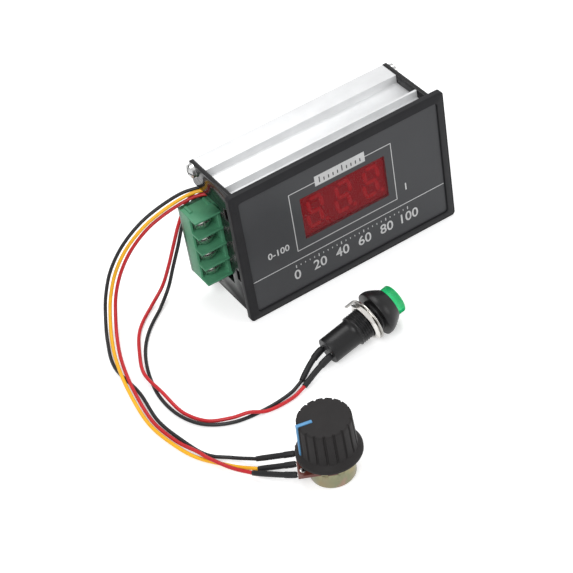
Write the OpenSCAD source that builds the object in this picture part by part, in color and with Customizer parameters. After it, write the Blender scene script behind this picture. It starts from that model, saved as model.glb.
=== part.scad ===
// Panel-mount speed controller for a DC motor, with its wired dial and push button.
// Millimetres. X runs along the panel, Y into the panel, Z up. The panel's front plane is Y = 0 and
// the box stands on Z = 0. The dial stands and the button lies on the same surface, in front of the box.

/* [Box] */
// Width of the front bezel
bezel_w = 95; // [94:0.5:97]
// Height of the front bezel
bezel_h = 59.5; // [59.5:0.5:62]
// Thickness of the bezel's flange
flange_t = 2.4; // [2.2:0.1:2.8]
// Width of the bezel's sloping rim
rim_w = 3.5; // [3:0.1:4]
// Height of the rim's inner ridge above the flange
ridge_h = 0.7; // [0.5:0.1:1]
// Radius of the bezel's corners
corner_r = 1.5; // [1:0.25:3]
// Width of the box behind the flange, over its end plates
body_w = 89; // [88:0.5:90]
// Height of the box behind the flange
body_h = 57.7; // [57.5:0.1:58.5]
// Depth of the box behind the flange
body_d = 29.4; // [29.4:0.2:32]
// Thickness of the end plates
end_plate_t = 1.8; // [1.6:0.1:2.2]
// Depth of the open channel along the top extrusion
channel_depth = 3.5; // [2.5:0.1:3.7]
// Floor thickness of both extrusions
extrusion_floor = 2.2; // [1.8:0.1:2.6]

/* [Front panel] */
// Thickness of the printed overlay
overlay_t = 1; // [0.8:0.1:1.2]
// Depth of the overlay below the ridge
overlay_recess = 0.7; // [0.5:0.1:0.9]
// Width of the display window
window_w = 37.8; // [36:0.2:40]
// Height of the display window
window_h = 19; // [18:0.2:20.4]
// Height of the window's centre as a share of the height of the box
window_share = 0.6; // [0.59:0.0005:0.61]
// Height of one digit
digit_h = 14.2; // [12.5:0.1:14.6]
// Spacing of the digits
digit_pitch = 12.6; // [12:0.1:12.8]

/* [Terminal block] */
// Spacing of the poles
pole_pitch = 7.5; // [7:0.1:7.7]
// Thickness of the walls between poles
fin_t = 0.9; // [0.7:0.1:1.2]
// Length of the block along the panel
block_l = 15.5; // [14:0.5:16]
// Height of the block above its board
block_d = 11.2; // [10.6:0.1:11.4]
// How far the block stands out of the end plate
block_out = 9; // [8:0.5:10]
// Diameter of a clamp screw's head
clamp_head_d = 5.4; // [5:0.1:5.8]

/* [Dial] */
// Diameter of the dial's can
can_d = 16.5; // [16:0.1:17]
// Height of the can
can_h = 6.6; // [6:0.1:8]
// Thickness of the terminal board
tag_board_t = 1.3; // [1:0.1:1.6]
// Diameter of the dial's shaft
shaft_d = 6; // [5.9:0.05:6.1]
// Diameter of the dial's bushing
bushing_d = 7; // [6.9:0.05:7.1]
// Diameter of the knob's skirt
knob_skirt_d = 23.6; // [22:0.2:25]
// Diameter of the knob's body at its foot
knob_foot_d = 20.2; // [19.6:0.2:20.8]
// Diameter of the knob's top
knob_top_d = 19.1; // [18.2:0.1:19.4]
// Height of the knob
knob_h = 16; // [15:0.2:18]
// Number of grooves round the knob
knob_grooves = 18; // [12:1:20]

/* [Push button] */
// Diameter of the button's thread
thread_d = 11.9; // [11.6:0.1:12]
// Diameter of the button's rear body
rear_d = 10.4; // [10.2:0.1:10.8]
// Diameter of the button's collar
collar_d = 18; // [17:0.25:19]
// Length of the button's rear body
rear_l = 14; // [13:0.5:16]
// Length of the button's thread
thread_l = 8.5; // [8.5:0.25:10]
// Length of the button's collar
collar_l = 7.5; // [7:0.25:8.5]
// Diameter of the green cap
cap_d = 11.5; // [11:0.1:11.8]
// How far the cap stands out of the collar
cap_out = 3; // [2.8:0.1:3.6]
// How far the cap moves when it is pressed
cap_travel = 2.5; // [2:0.1:2.6]

/* [Wires] */
// Diameter of a wire over its insulation
wire_d = 1.4; // [1.3:0.05:1.4]
// Diameter of a heat-shrink sleeve
sleeve_d = 2.2; // [2:0.1:2.3]

/* [Hidden] */
$fn = 48;
// Running gap between pieces that move on each other, and overrun of every cut
gap = 0.05;
seat_gap = 0.15;
sleeve_gap = 0.3;
sleeve_start = 0.2;
lug_sleeve_r = 1.16;
lug_bore_r = 0.87;
blade_sleeve_r = 1.4;
blade_bore_r = 1.15;
over = 1;

// Values of the bezel and of the spigot behind its flange, which the box's pieces butt against
body_x = -0.75;
spigot_t = 0.5;
overlay_y = -flange_t - ridge_h + overlay_recess;
overlay_w = bezel_w - 2 * rim_w;
overlay_h = bezel_h - 2 * rim_w;
overlay_r = 1.2;
overlay_gap = 0.1;
window_x = -0.1;
window_z = body_h * window_share;
window_gap = 0.3;
rim_lip = 0.4;
clip_t = 1.4;
clip_l = 7;
clip_h = 5;
clip_hook = 0.9;
clip_hook_l = 1.9;
clip_window_y = 5;
clip_window_l = 2.2;
clip_low_z = 16.8;
clip_drop = 3.4;
post_in = 3.5;
post_up = 4;
post_d = 4.6;
post_l = 5.3;
pilot_r = 0.8;

// Values of the two extrusions, whose profiles run along X
plate_in = body_w / 2 - end_plate_t;
pad_top = body_h - channel_depth - extrusion_floor;
clip_z = [clip_low_z, pad_top - clip_drop - clip_h / 2];
strip_l = 9.2;
rib_t = 1;
rib_y = 7.2;
lip_t = 1.2;
side_floor_rise = 0.4;
groove_depth = 1.6;
rear_lip_t = 0.6;
groove_lip_t = 1;
base_block_h = 6.2;
base_groove_depth = 1.2;
case_screw_r = 1.5;
case_screw_l = 9;
case_bore_r = 1.35;
case_bore_in = 2.5;
case_bore_y = body_d - case_bore_in;
case_bore_top = 2.8;
case_bore_base = 3.1;
case_head_r = 2.75;
case_head_h = 1.9;
case_washer_r = 3;
case_washer_t = 0.4;
slot_w = 0.8;
slot_d = 0.8;
plate_proud = 0.2;

// Values of the boards and of the sheet behind them
board_t = 1.6;
sheet_t = 0.8;
sheet_gap = 0.05;
sheet_y = body_d - rear_lip_t - sheet_gap - sheet_t;
power_y = sheet_y - sheet_gap - board_t;
groove_y = power_y - sheet_gap;
power_z0 = base_block_h - base_groove_depth + gap;
board_end_gap = 0.2;
notch_l = 7.5;
control_y = spigot_t + post_l;
control_side_gap = 4.4;
control_w = 2 * (plate_in - control_side_gap);
control_base = 8;
control_top_gap = 2;
control_z = [control_base, pad_top - control_top_gap];
post_x = control_w / 2 - post_in;
post_z = [control_z[0] + post_up, control_z[1] - post_in];
board_room = power_y - control_y - board_t;

// Values of the cut-out in the left end plate, which follow the block
cut_gap = 0.6;
cut_front = 4.1;
wire_room = 5.9;
cut_r = 1.5;

// Values of the terminal block
poles = 4;
block_h = poles * pole_pitch + fin_t;
block_z_share = 0.2;
block_z = pad_top * block_z_share;
block_x = -body_w / 2 - block_out;
block_y = power_y - block_d;
pocket_depth = 6.3;
pocket_l = 9.9;
fin_l = 11.2;
sill_h = 1.6;
rail_w = 1.2;
rail_in = 1.6;
rail_spacing = 7.9;
rail_front = 6.4;
rail_h = 0.7;
rail_l = 4.4;
clamp_in = 5;
clamp_x = block_x + clamp_in;
contact_t = 0.8;
contact_w = 5.6;
contact_l = 6.4;
pin_w = 1;
pin_t = 0.8;
pin_out = 3.6;
pin_x = clamp_x + pin_out;
clamp_washer_t = 0.7;
clamp_washer_w = 5.8;
clamp_head_h = 2;
clamp_shank_r = 1.4;
clamp_shank_l = 5.2;
clamp_bore_l = clamp_shank_l - contact_t - clamp_washer_t + seat_gap;

// Values of the display
module_gap = 0.1;
segment_w = 1.7;
segment_t = 0.25;
segment_space = 0.35;
digit_lean_share = 0.12;
digit_w = 7.4;

// Values of the power parts. Each transistor lies against the top extrusion's floor.
transistor_shares = [-0.236, 0.071, 0.377];
transistor_x = [for (share = transistor_shares) plate_in * share];
transistor_w = 10;
transistor_l_share = 0.5;
tab_gap = 0.8;
tab_y = control_y + board_t + tab_gap;
transistor_l = (power_y - tab_y) * transistor_l_share;
transistor_t = 4.4;
tab_t = 1.3;
tab_l_share = 0.33;
tab_l = (power_y - tab_y) * tab_l_share;
pad_t = 0.2;
pad_border = 1;
lead_w = 0.8;
lead_t = 0.6;
lead_spacing = 2.54;
tab_hole_r = 1.7;
tab_screw_r = 1.3;
tab_head_r = 2.6;
tab_head_h = 1.9;
tab_bite = 1.6;
capacitor_r = 5;
capacitor_l_share = 0.8;
capacitor_l = board_room * capacitor_l_share;
capacitor_x = [-21, -9];
capacitor_z = 18;
capacitor_rim = 0.8;
regulator_x = 8;
regulator_z = 20;
regulator_w = 6.6;
regulator_h = 6.2;
regulator_t = 2.3;
chip_x = -8;
chip_z_share = 0.476;
chip_z = control_z[0] + (control_z[1] - control_z[0]) * chip_z_share;
chip_w = 5.3;
chip_h = 12.8;
chip_t = 1.9;
small_chip = [2, 1.25, 0.6];
small_chips = 6;
small_chip_pitch = 4;
small_chip_x = 4;
small_chip_z = 14;
link_x = 26;
link_z = 28;
link_pins = 6;
link_pin_w = 0.64;
link_block = [2.54, 2.5];
dial_plug = [7, 6.3, 6.6];
dial_plug_in = 13.4;
dial_plug_drop = 9.9;
dial_plug_x = -plate_in + dial_plug_in;
dial_plug_z = pad_top - dial_plug_drop;
button_plug = [4.6, 3.5, 4.4];
button_plug_in = 7.6;
button_plug_drop = 10.4;
button_plug_x = -plate_in + button_plug_in;
button_plug_z = pad_top - button_plug_drop;
board_screw_r = 1.1;
board_screw_bite_r = 0.75;
board_head_r = 2.1;
board_head_h = 1.4;

// Place and values of the dial
dial_x = -66;
dial_y = -85.3;
dial_turn = 152;
pointer_turn = 166.5;
can_wall = 0.5;
can_edge_r = 0.8;
can_r = can_d / 2;
tag_board_w = 15;
tag_board_out = 11.8;
track_r0 = 4.6;
track_r1 = 6.8;
track_t = 0.1;
lug_pitch = 5;
lug_w = 1.6;
lug_t = 0.4;
lug_in = 8.8;
lug_out = 13.4;
lug_rivet_r = 1.1;
lug_shank_r = 0.6;
lug_rivet_h = 0.35;
front_t = 0.9;
crimp_w = 2.2;
crimp_t = 0.45;
crimp_l = 1.4;
crimp_turns = [70, 110, 250, 290];
bushing_l = 5.6;
nut_af = 10;
nut_t = 2;
wiper_t = 0.4;
wiper_r = 6.6;
wiper_w = 3;
wiper_gap = 0.15;
shaft_l = 13.5;
shaft_collar_r = 3.8;
shaft_collar_t = 1;
knob_z = 10.65;
skirt_h = 1.6;
skirt_slope = 1.1;
knob_wall = 1.4;
knob_cavity_h = 5.2;
groove_r = 0.85;
groove_out = 0.35;
groove_top_gap = 0.35;
pointer_w = 1.3;
pointer_in = 4.2;
pointer_up = 0.35;
pointer_out = 0.45;

// Place and values of the button. It lies on its collar's rim and on the end of its rear body.
button_x = -36.9;
button_y = -39.3;
button_turn = 3.6;
collar_s = rear_l + thread_l;
button_tilt = atan((collar_d - rear_d) / 2 / collar_s);
button_z = rear_d / 2 * cos(button_tilt);
housing_bore_r = 4.2;
collar_bore_r = cap_d / 2 + gap;
collar_lip_r = 6.1;
// The collar's outline: shares of its shoulder's width and of its length
collar_shares = [
    [1, 0], [1, 0.2], [0.94, 0.36], [0.84, 0.5], [0.71, 0.62], [0.54, 0.74], [0.35, 0.85],
    [0.15, 0.94], [0, 1]
];
cap_skirt = 3.6;
cap_edge = 0.5;
cap_floor_gap = 0.2;
flat_depth = 0.35;
flat_s = 2.5;
flat_l = 9.5;
hex_af = 14;
hex_t = 1.8;
washer_t = 0.6;
washer_r = 8.3;
nut_clear = 2.6;
ear_w = 3;
ear_t = 0.6;
ear_l = 4.6;
ear_turn = 140;
end_plug_t = 2;
terminal_w = 2.2;
terminal_t = 0.5;
terminal_out = 4;
terminal_offset = 2.6;
terminal_head_t = 1.2;
contact_bar_t = 0.6;
contact_bar_w = 2.4;
contact_bar_l = 7.2;
bar_s = end_plug_t + terminal_head_t + cap_travel + 2 * gap;
stem_r = 0.9;
spring_r = 1.3;
spring_wire_r = 0.22;
spring_turns = 4;
plunger_s = 11;
plunger_r = housing_bore_r - seat_gap;
spring_steps = 12;

// Wires: each route is a list of points chosen by hand, from its plug to its sleeve
yellow_route = [
    [-30.15, 21.2, 45.3], [-37.75, 22, 45.4], [-45.35, 26.2, 45.4], [-51.4, 28.6, 43.9], [-60, 30, 41.3],
    [-68, 31.5, 37.2], [-76, 32.8, 30.5], [-82, 33.8, 22], [-86, 34, 13], [-89.2, 31.8, 6],
    [-94, 23.5, 1.5], [-99, 10, 2.2], [-103, -7, 2], [-104.8, -24, 0.7], [-103, -38.5, 0.7],
    [-99.4, -50, 0.7], [-92, -61.2, 0.7], [-86.2, -69.5, 2.2]
];
red_route = [
    [-30.15, 21.2, 43.4], [-37.75, 21.8, 43.5], [-45.15, 25.9, 43.6], [-51.1, 28.3, 42.1],
    [-59.5, 29.9, 39.5], [-67.2, 31.3, 35.5], [-74.7, 32.4, 29], [-80.3, 33.2, 21], [-84.3, 33.3, 12.4],
    [-87.4, 30.9, 5.6], [-92.2, 22.5, 1.5], [-97.2, 9.4, 1.9], [-101.3, -7.3, 2.3], [-103.1, -24, 0.7],
    [-101.4, -38, 0.9], [-98.6, -48.5, 2.2], [-97.2, -53.8, 2.3], [-93, -62.6, 1.6], [-88.8, -69.8, 2.2]
];
black_route = [
    [-30.15, 21.2, 47.2], [-37.75, 23.2, 46.8], [-45.05, 27.8, 45.7], [-51.3, 30.2, 44.8],
    [-60.4, 31.5, 42.4], [-68.9, 32.9, 38.2], [-77.2, 34.1, 31.3], [-83.6, 35, 22.4], [-87.7, 35, 13],
    [-90.9, 32.5, 5.8], [-95.6, 24.2, 0.8], [-100.2, 10, 0.7], [-99.6, -7.5, 0.7], [-101.4, -24, 0.7],
    [-99.8, -37.5, 0.7], [-96.4, -50.4, 0.7], [-89.6, -58.1, 0.7], [-84.3, -65, 2.2]
];
button_black_route = [
    [-36.05, 24.5, 42.7], [-40.75, 26, 42.6], [-44.75, 28.8, 41.4], [-48.4, 30, 37.5], [-53, 30.3, 30.5],
    [-56.3, 30.9, 21.8], [-60, 31.4, 13], [-64.2, 30.8, 5], [-71.5, 26.4, 0.9], [-80.5, 18.8, 0.7],
    [-87.2, 9.8, 0.7], [-92.2, -2, 0.7], [-94.9, -15, 0.7], [-94, -27.5, 0.7], [-89.2, -37.3, 0.7],
    [-80, -43.4, 0.7], [-68, -45.2, 0.7], [-57.55, -44.5, 0.8], [-50.9, -42.6, 1.7]
];
button_red_route = [
    [-36.05, 24.5, 44.6], [-40.75, 25.9, 44.4], [-45.55, 29.1, 43.3], [-49.9, 30.4, 38.7],
    [-54.2, 30.8, 31.3], [-58, 31.4, 22.4], [-61.7, 32, 13.5], [-65.9, 32.4, 5.6], [-73.6, 29.7, 1.1],
    [-82.8, 21.8, 0.8], [-89.1, 11, 0.8], [-93.8, -1.5, 2.1], [-93.6, -14.5, 2.4], [-92.3, -27, 0.7],
    [-87.9, -36.1, 0.7], [-80.5, -41.4, 1.4], [-74.5, -44.3, 2.5], [-68, -46.9, 1.2],
    [-58.05, -46.9, 0.8], [-51.7, -45.6, 1.7]
];

// Helpers. Outlines are drawn in X and Z and stand on a plane of constant Y.
module along_y(y0, thick) {
    translate([0, y0 + thick, 0]) rotate([90, 0, 0]) linear_extrude(height = thick) children();
}

module along_x(length) {
    translate([-length / 2, 0, 0]) rotate([90, 0, 90]) linear_extrude(height = length) children();
}

module round_rect(w, h, r) {
    translate([-w / 2 + r, 0]) square([w - 2 * r, h]);
    translate([-w / 2, r]) square([w, h - 2 * r]);
    for (x = [-w / 2 + r, w / 2 - r]) {
        for (z = [r, h - r]) {
            translate([x, z]) circle(r = r);
        }
    }
}

module block(x, y, z) {
    translate([x[0], y[0], z[0]]) cube([x[1] - x[0], y[1] - y[0], z[1] - z[0]]);
}

// The box lies a little to the left of the bezel's middle
module at_body() {
    translate([body_x, 0, 0]) children();
}

module rod_y(x, y0, z, r, length) {
    translate([x, y0, z]) rotate([-90, 0, 0]) cylinder(r = r, h = length);
}

module rod_x(x0, y, z, r, length) {
    translate([x0, y, z]) rotate([0, 90, 0]) cylinder(r = r, h = length);
}

// Front of the box
module flange_outline() {
    round_rect(bezel_w, bezel_h, corner_r);
}

module front_bezel() {
    color([0.16, 0.16, 0.17])
    difference() {
        union() {
            along_y(-flange_t, flange_t) flange_outline();
            along_y(0, spigot_t) translate([body_x - body_w / 2, 0]) square([body_w, body_h + plate_proud]);
            hull() {
                along_y(-flange_t - gap, gap) translate([0, rim_lip]) round_rect(bezel_w - 2 * rim_lip,
                    bezel_h - 2 * rim_lip, corner_r - rim_lip, $fn = 32);
                along_y(-flange_t - ridge_h, gap) translate([0, rim_w - rim_lip])
                    round_rect(overlay_w + 2 * rim_lip, overlay_h + 2 * rim_lip, overlay_r, $fn = 32);
            }
            at_body() for (side = [-1, 1]) {
                for (z = clip_z) bezel_clip(side, z);
                for (z = post_z) rod_y(side * post_x, spigot_t, z, post_d / 2, post_l);
            }
        }
        along_y(overlay_y - over - overlay_recess, over + overlay_recess + overlay_t)
            translate([0, rim_w]) round_rect(overlay_w, overlay_h, overlay_r);
        along_y(-flange_t - over, flange_t + spigot_t + 2 * over) translate([window_x, window_z])
            square([window_w + 2 * window_gap, window_h + 2 * window_gap], center = true);
        at_body() for (side = [-1, 1]) {
            for (z = post_z) rod_y(side * post_x, spigot_t, z, pilot_r, post_l + over);
        }
    }
}

module bezel_clip(side, z) {
    outer = plate_in - seat_gap;
    x0 = side > 0 ? outer - clip_t : -outer;
    block([x0, x0 + clip_t], [0, clip_l], [z - clip_h / 2 + seat_gap, z + clip_h / 2 - seat_gap]);
    hook_x = side > 0 ? outer - gap : -outer - clip_hook;
    block([hook_x, hook_x + clip_hook + gap], [clip_window_y + seat_gap, clip_window_y + clip_hook_l],
        [z - clip_h / 2 + seat_gap, z + clip_h / 2 - seat_gap]);
}

module window_outline(border) {
    translate([window_x, window_z]) square([window_w + 2 * border, window_h + 2 * border], center = true);
}

module front_overlay() {
    color([0.3, 0.3, 0.31])
    along_y(overlay_y, overlay_t) difference() {
        translate([0, rim_w + overlay_gap])
            round_rect(overlay_w - 2 * overlay_gap, overlay_h - 2 * overlay_gap, overlay_r);
        window_outline(0);
    }
}

module display_window() {
    color([0.6, 0.1, 0.12])
    along_y(overlay_y, overlay_t) window_outline(-gap);
}

// The two extrusions, drawn as profiles in Y and Z
module bore_along_x(z) {
    rod_x(-plate_in - over, case_bore_y, z, case_bore_r, 2 * (plate_in + over));
}

module top_profile() {
    floor_z = body_h - channel_depth;
    under_z = floor_z - extrusion_floor;
    front_y = spigot_t;
    polygon([
        [front_y, under_z], [front_y, body_h], [front_y + lip_t, body_h],
        [front_y + lip_t, floor_z + side_floor_rise], [rib_y - rib_t / 2, floor_z + side_floor_rise],
        [rib_y - rib_t / 2, body_h], [rib_y + rib_t / 2, body_h], [rib_y + rib_t / 2, floor_z],
        [body_d - strip_l, floor_z], [body_d - strip_l, body_h], [body_d, body_h],
        [body_d, under_z - groove_depth], [body_d - rear_lip_t, under_z - groove_depth],
        [body_d - rear_lip_t, under_z], [groove_y, under_z], [groove_y, under_z - groove_depth],
        [groove_y - groove_lip_t, under_z - groove_depth], [groove_y - groove_lip_t, under_z]
    ]);
}

module top_extrusion() {
    color([0.85, 0.86, 0.87]) at_body()
    difference() {
        along_x(2 * plate_in) top_profile();
        bore_along_x(body_h - case_bore_top);
        for (x = transistor_x) {
            translate([x, tab_y + tab_l / 2, pad_top - over])
                cylinder(r = tab_screw_r, h = over + tab_bite + gap);
        }
    }
}

module base_profile() {
    block_y0 = groove_y - groove_lip_t - 2 * rear_lip_t;
    polygon([
        [spigot_t, 0], [body_d, 0], [body_d, base_block_h], [body_d - rear_lip_t, base_block_h],
        [body_d - rear_lip_t, base_block_h - base_groove_depth],
        [groove_y, base_block_h - base_groove_depth], [groove_y, base_block_h],
        [block_y0, base_block_h], [block_y0, extrusion_floor], [spigot_t, extrusion_floor]
    ]);
}

module base_rail() {
    color([0.8, 0.81, 0.82]) at_body()
    difference() {
        along_x(2 * plate_in) base_profile();
        bore_along_x(case_bore_base);
    }
}

// End plates, drawn at X = 0 from Z = 0 up and placed by their side
module end_plate(side) {
    x0 = side > 0 ? plate_in : -plate_in - end_plate_t;
    difference() {
        block([x0, x0 + end_plate_t], [spigot_t, body_d], [0, body_h + plate_proud]);
        for (z = clip_z) {
            block([x0 - over, x0 + end_plate_t + over],
                [clip_window_y, clip_window_y + clip_window_l], [z - clip_h / 2, z + clip_h / 2]);
        }
        for (z = [case_bore_base, body_h - case_bore_top]) {
            rod_x(x0 - over, case_bore_y, z, case_screw_r + seat_gap, end_plate_t + 2 * over);
        }
    }
}

module left_cut() {
    y0 = block_y - cut_front;
    z0 = block_z - cut_gap;
    z1 = block_z + block_h + wire_room;
    x0 = -body_w / 2 - over;
    x1 = -plate_in + over;
    block([x0, x1], [y0, body_d + over], [z0, z1]);
    // The two rear corners of the cut-out are rounded off
    for (corner = [[z1, 1], [z0, -1]]) {
        near_z = corner[0] - corner[1] * gap;
        centre_z = corner[0] + corner[1] * cut_r;
        difference() {
            block([x0, x1], [body_d - cut_r, body_d + over],
                [min(near_z, centre_z), max(near_z, centre_z)]);
            rod_x(x0 - over, body_d - cut_r, centre_z, cut_r, x1 - x0 + 2 * over);
        }
    }
}

module left_end_plate() {
    color([0.13, 0.13, 0.14]) at_body()
    difference() {
        end_plate(-1);
        left_cut();
    }
}

module right_end_plate() {
    color([0.13, 0.13, 0.14]) at_body() end_plate(1);
}

module rear_sheet() {
    color([0.1, 0.1, 0.1]) at_body()
    difference() {
        block([-plate_in + board_end_gap, plate_in - board_end_gap], [sheet_y, sheet_y + sheet_t],
            [power_z0, pad_top - gap]);
        notch_z = block_z + block_h;
        block([-plate_in - over, -plate_in + notch_l], [sheet_y - over, sheet_y + sheet_t + over],
            [notch_z - cut_gap, notch_z + wire_room]);
    }
}

// Screws that hold the end plates to the extrusions, each with its washer
module case_screw(side, z) {
    face = side * body_w / 2;
    translate([face, case_bore_y, z]) rotate([0, side * 90, 0]) {
        difference() {
            union() {
                cylinder(r = case_washer_r, h = case_washer_t);
                cylinder(r = case_head_r, h = case_washer_t + case_head_h);
            }
            translate([-case_head_r - over, -slot_w / 2, case_washer_t + case_head_h - slot_d])
                cube([2 * (case_head_r + over), slot_w, slot_d + over]);
            translate([-slot_w / 2, -case_head_r - over, case_washer_t + case_head_h - slot_d])
                cube([slot_w, 2 * (case_head_r + over), slot_d + over]);
        }
        translate([0, 0, -case_screw_l]) cylinder(r = case_bore_r - gap, h = case_screw_l);
    }
}

module end_plate_screws() {
    color([0.8, 0.8, 0.78]) at_body()
    for (side = [-1, 1]) {
        for (z = [case_bore_base, body_h - case_bore_top]) case_screw(side, z);
    }
}

// Boards
module power_board() {
    color([0.1, 0.35, 0.22]) at_body()
    difference() {
        union() {
            block([-plate_in + board_end_gap, plate_in - board_end_gap], [power_y, power_y + board_t],
                [power_z0, pad_top - gap]);
            block([block_x, 0], [power_y, power_y + board_t], [block_z, block_z + block_h]);
        }
        notch_z = block_z + block_h;
        block([-plate_in - over, -plate_in + notch_l], [power_y - over, power_y + board_t + over],
            [notch_z, notch_z + wire_room]);
    }
}

module control_board() {
    color([0.1, 0.35, 0.22]) at_body()
    difference() {
        block([-control_w / 2, control_w / 2], [control_y, control_y + board_t], control_z);
        for (side = [-1, 1]) {
            for (z = post_z) {
                rod_y(side * post_x, control_y - over, z, board_screw_r, board_t + 2 * over);
            }
        }
    }
}

module board_screws() {
    color([0.8, 0.8, 0.78]) at_body()
    for (side = [-1, 1]) {
        for (z = post_z) {
            rod_y(side * post_x, spigot_t + over, z, board_screw_bite_r, post_l + board_t);
            rod_y(side * post_x, control_y + board_t, z, board_head_r, board_head_h);
        }
    }
}

module link_pins() {
    color([0.85, 0.7, 0.3]) at_body()
    for (i = [0 : link_pins - 1]) {
        z = link_z + (i - (link_pins - 1) / 2) * lead_spacing;
        block([link_x - link_pin_w / 2, link_x + link_pin_w / 2], [control_y + board_t, power_y],
            [z - link_pin_w / 2, z + link_pin_w / 2]);
    }
}

module link_blocks() {
    color([0.1, 0.1, 0.1]) at_body()
    for (y = [control_y + board_t, power_y - link_block[1]]) {
        half = link_pins * lead_spacing / 2;
        difference() {
            block([link_x - link_block[0] / 2, link_x + link_block[0] / 2], [y, y + link_block[1]],
                [link_z - half, link_z + half]);
            for (i = [0 : link_pins - 1]) {
                z = link_z + (i - (link_pins - 1) / 2) * lead_spacing;
                block([link_x - link_pin_w / 2, link_x + link_pin_w / 2],
                    [y - over, y + link_block[1] + over], [z - link_pin_w / 2, z + link_pin_w / 2]);
            }
        }
    }
}

// Display: a potted module with three digits of seven segments and a point
module_y = overlay_y + overlay_t + module_gap + segment_t;

module display_module() {
    color([0.12, 0.12, 0.12])
    along_y(module_y, control_y - module_y) window_outline(-gap);
}

module segment(x, z, length, upright) {
    w = upright ? segment_w : length;
    h = upright ? length : segment_w;
    translate([x, z]) square([w, h], center = true);
}

module digit() {
    span = digit_w - segment_w;
    rise = (digit_h - segment_w) / 2;
    bar = span - segment_w - 2 * segment_space;
    post = rise - segment_w - 2 * segment_space;
    lean = digit_lean_share * rise;
    for (level = [-1, 0, 1]) {
        segment(level * lean, level * rise, bar, false);
    }
    for (level = [-1, 1]) {
        for (side = [-1, 1]) {
            segment(side * span / 2 + level * lean / 2, level * rise / 2, post, true);
        }
    }
    translate([span / 2 + segment_w, -rise]) circle(r = segment_w / 2);
}

module display_segments() {
    color([0.8, 0.2, 0.2])
    along_y(module_y - segment_t, segment_t) {
        for (i = [-1, 0, 1]) {
            translate([window_x + i * digit_pitch, window_z]) digit();
        }
    }
}

// Power parts
module transistor(x) {
    under = pad_top - pad_t;
    color([0.15, 0.15, 0.15]) at_body() {
        block([x - transistor_w / 2, x + transistor_w / 2],
            [tab_y + tab_l, tab_y + tab_l + transistor_l], [under - transistor_t, under]);
        difference() {
            block([x - transistor_w / 2, x + transistor_w / 2], [tab_y, tab_y + tab_l],
                [under - tab_t, under]);
            translate([x, tab_y + tab_l / 2, under - tab_t - over])
                cylinder(r = tab_hole_r, h = tab_t + 2 * over);
        }
        for (i = [-1, 0, 1]) {
            lead_x = x + i * lead_spacing;
            block([lead_x - lead_w / 2, lead_x + lead_w / 2],
                [tab_y + tab_l + transistor_l - gap, power_y],
                [under - transistor_t / 2 - lead_t, under - transistor_t / 2]);
        }
    }
}

module insulating_pads() {
    color([0.6, 0.6, 0.62]) at_body()
    for (x = transistor_x) {
        difference() {
            block([x - transistor_w / 2 - pad_border, x + transistor_w / 2 + pad_border],
                [tab_y - pad_border, tab_y + tab_l + transistor_l], [pad_top - pad_t, pad_top]);
            translate([x, tab_y + tab_l / 2, pad_top - pad_t - over])
                cylinder(r = tab_hole_r, h = pad_t + 2 * over);
        }
    }
}

module tab_screws() {
    under = pad_top - pad_t - tab_t;
    color([0.8, 0.8, 0.78]) at_body()
    for (x = transistor_x) {
        translate([x, tab_y + tab_l / 2, under]) {
            translate([0, 0, -tab_head_h]) difference() {
                cylinder(r = tab_head_r, h = tab_head_h);
                translate([-tab_head_r - over, -slot_w / 2, -over])
                    cube([2 * (tab_head_r + over), slot_w, slot_d + over]);
            }
            cylinder(r = tab_screw_r - gap, h = tab_t + pad_t + tab_bite);
        }
    }
}

module bulk_capacitors() {
    color([0.15, 0.2, 0.4]) at_body()
    for (x = capacitor_x) {
        rod_y(x, power_y - capacitor_l + capacitor_rim, capacitor_z, capacitor_r,
            capacitor_l - capacitor_rim);
        rod_y(x, power_y - capacitor_l, capacitor_z, capacitor_r - capacitor_rim, 2 * capacitor_rim);
    }
}

module voltage_regulator() {
    color([0.12, 0.12, 0.12]) at_body()
    block([regulator_x, regulator_x + regulator_w], [power_y - regulator_t, power_y],
        [regulator_z, regulator_z + regulator_h]);
}

module microcontroller() {
    color([0.12, 0.12, 0.12]) at_body()
    block([chip_x, chip_x + chip_w], [control_y + board_t, control_y + board_t + chip_t],
        [chip_z, chip_z + chip_h]);
}

module chip_resistors() {
    color([0.2, 0.2, 0.22]) at_body()
    for (i = [0 : small_chips - 1]) {
        x = small_chip_x + i * small_chip_pitch;
        block([x, x + small_chip[0]], [control_y + board_t, control_y + board_t + small_chip[2]],
            [small_chip_z, small_chip_z + small_chip[1]]);
    }
}

module dial_plug() {
    color([0.92, 0.92, 0.88]) at_body()
    block([dial_plug_x, dial_plug_x + dial_plug[0]], [power_y - dial_plug[1], power_y],
        [dial_plug_z, dial_plug_z + dial_plug[2]]);
}

module button_plug() {
    color([0.92, 0.92, 0.88]) at_body()
    block([button_plug_x, button_plug_x + button_plug[0]], [power_y - button_plug[1], power_y],
        [button_plug_z, button_plug_z + button_plug[2]]);
}

// Terminal block, with its poles stacked along Z and its screws facing the panel's front
function pole_z(i) = block_z + fin_t / 2 + (i + 0.5) * pole_pitch;

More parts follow.
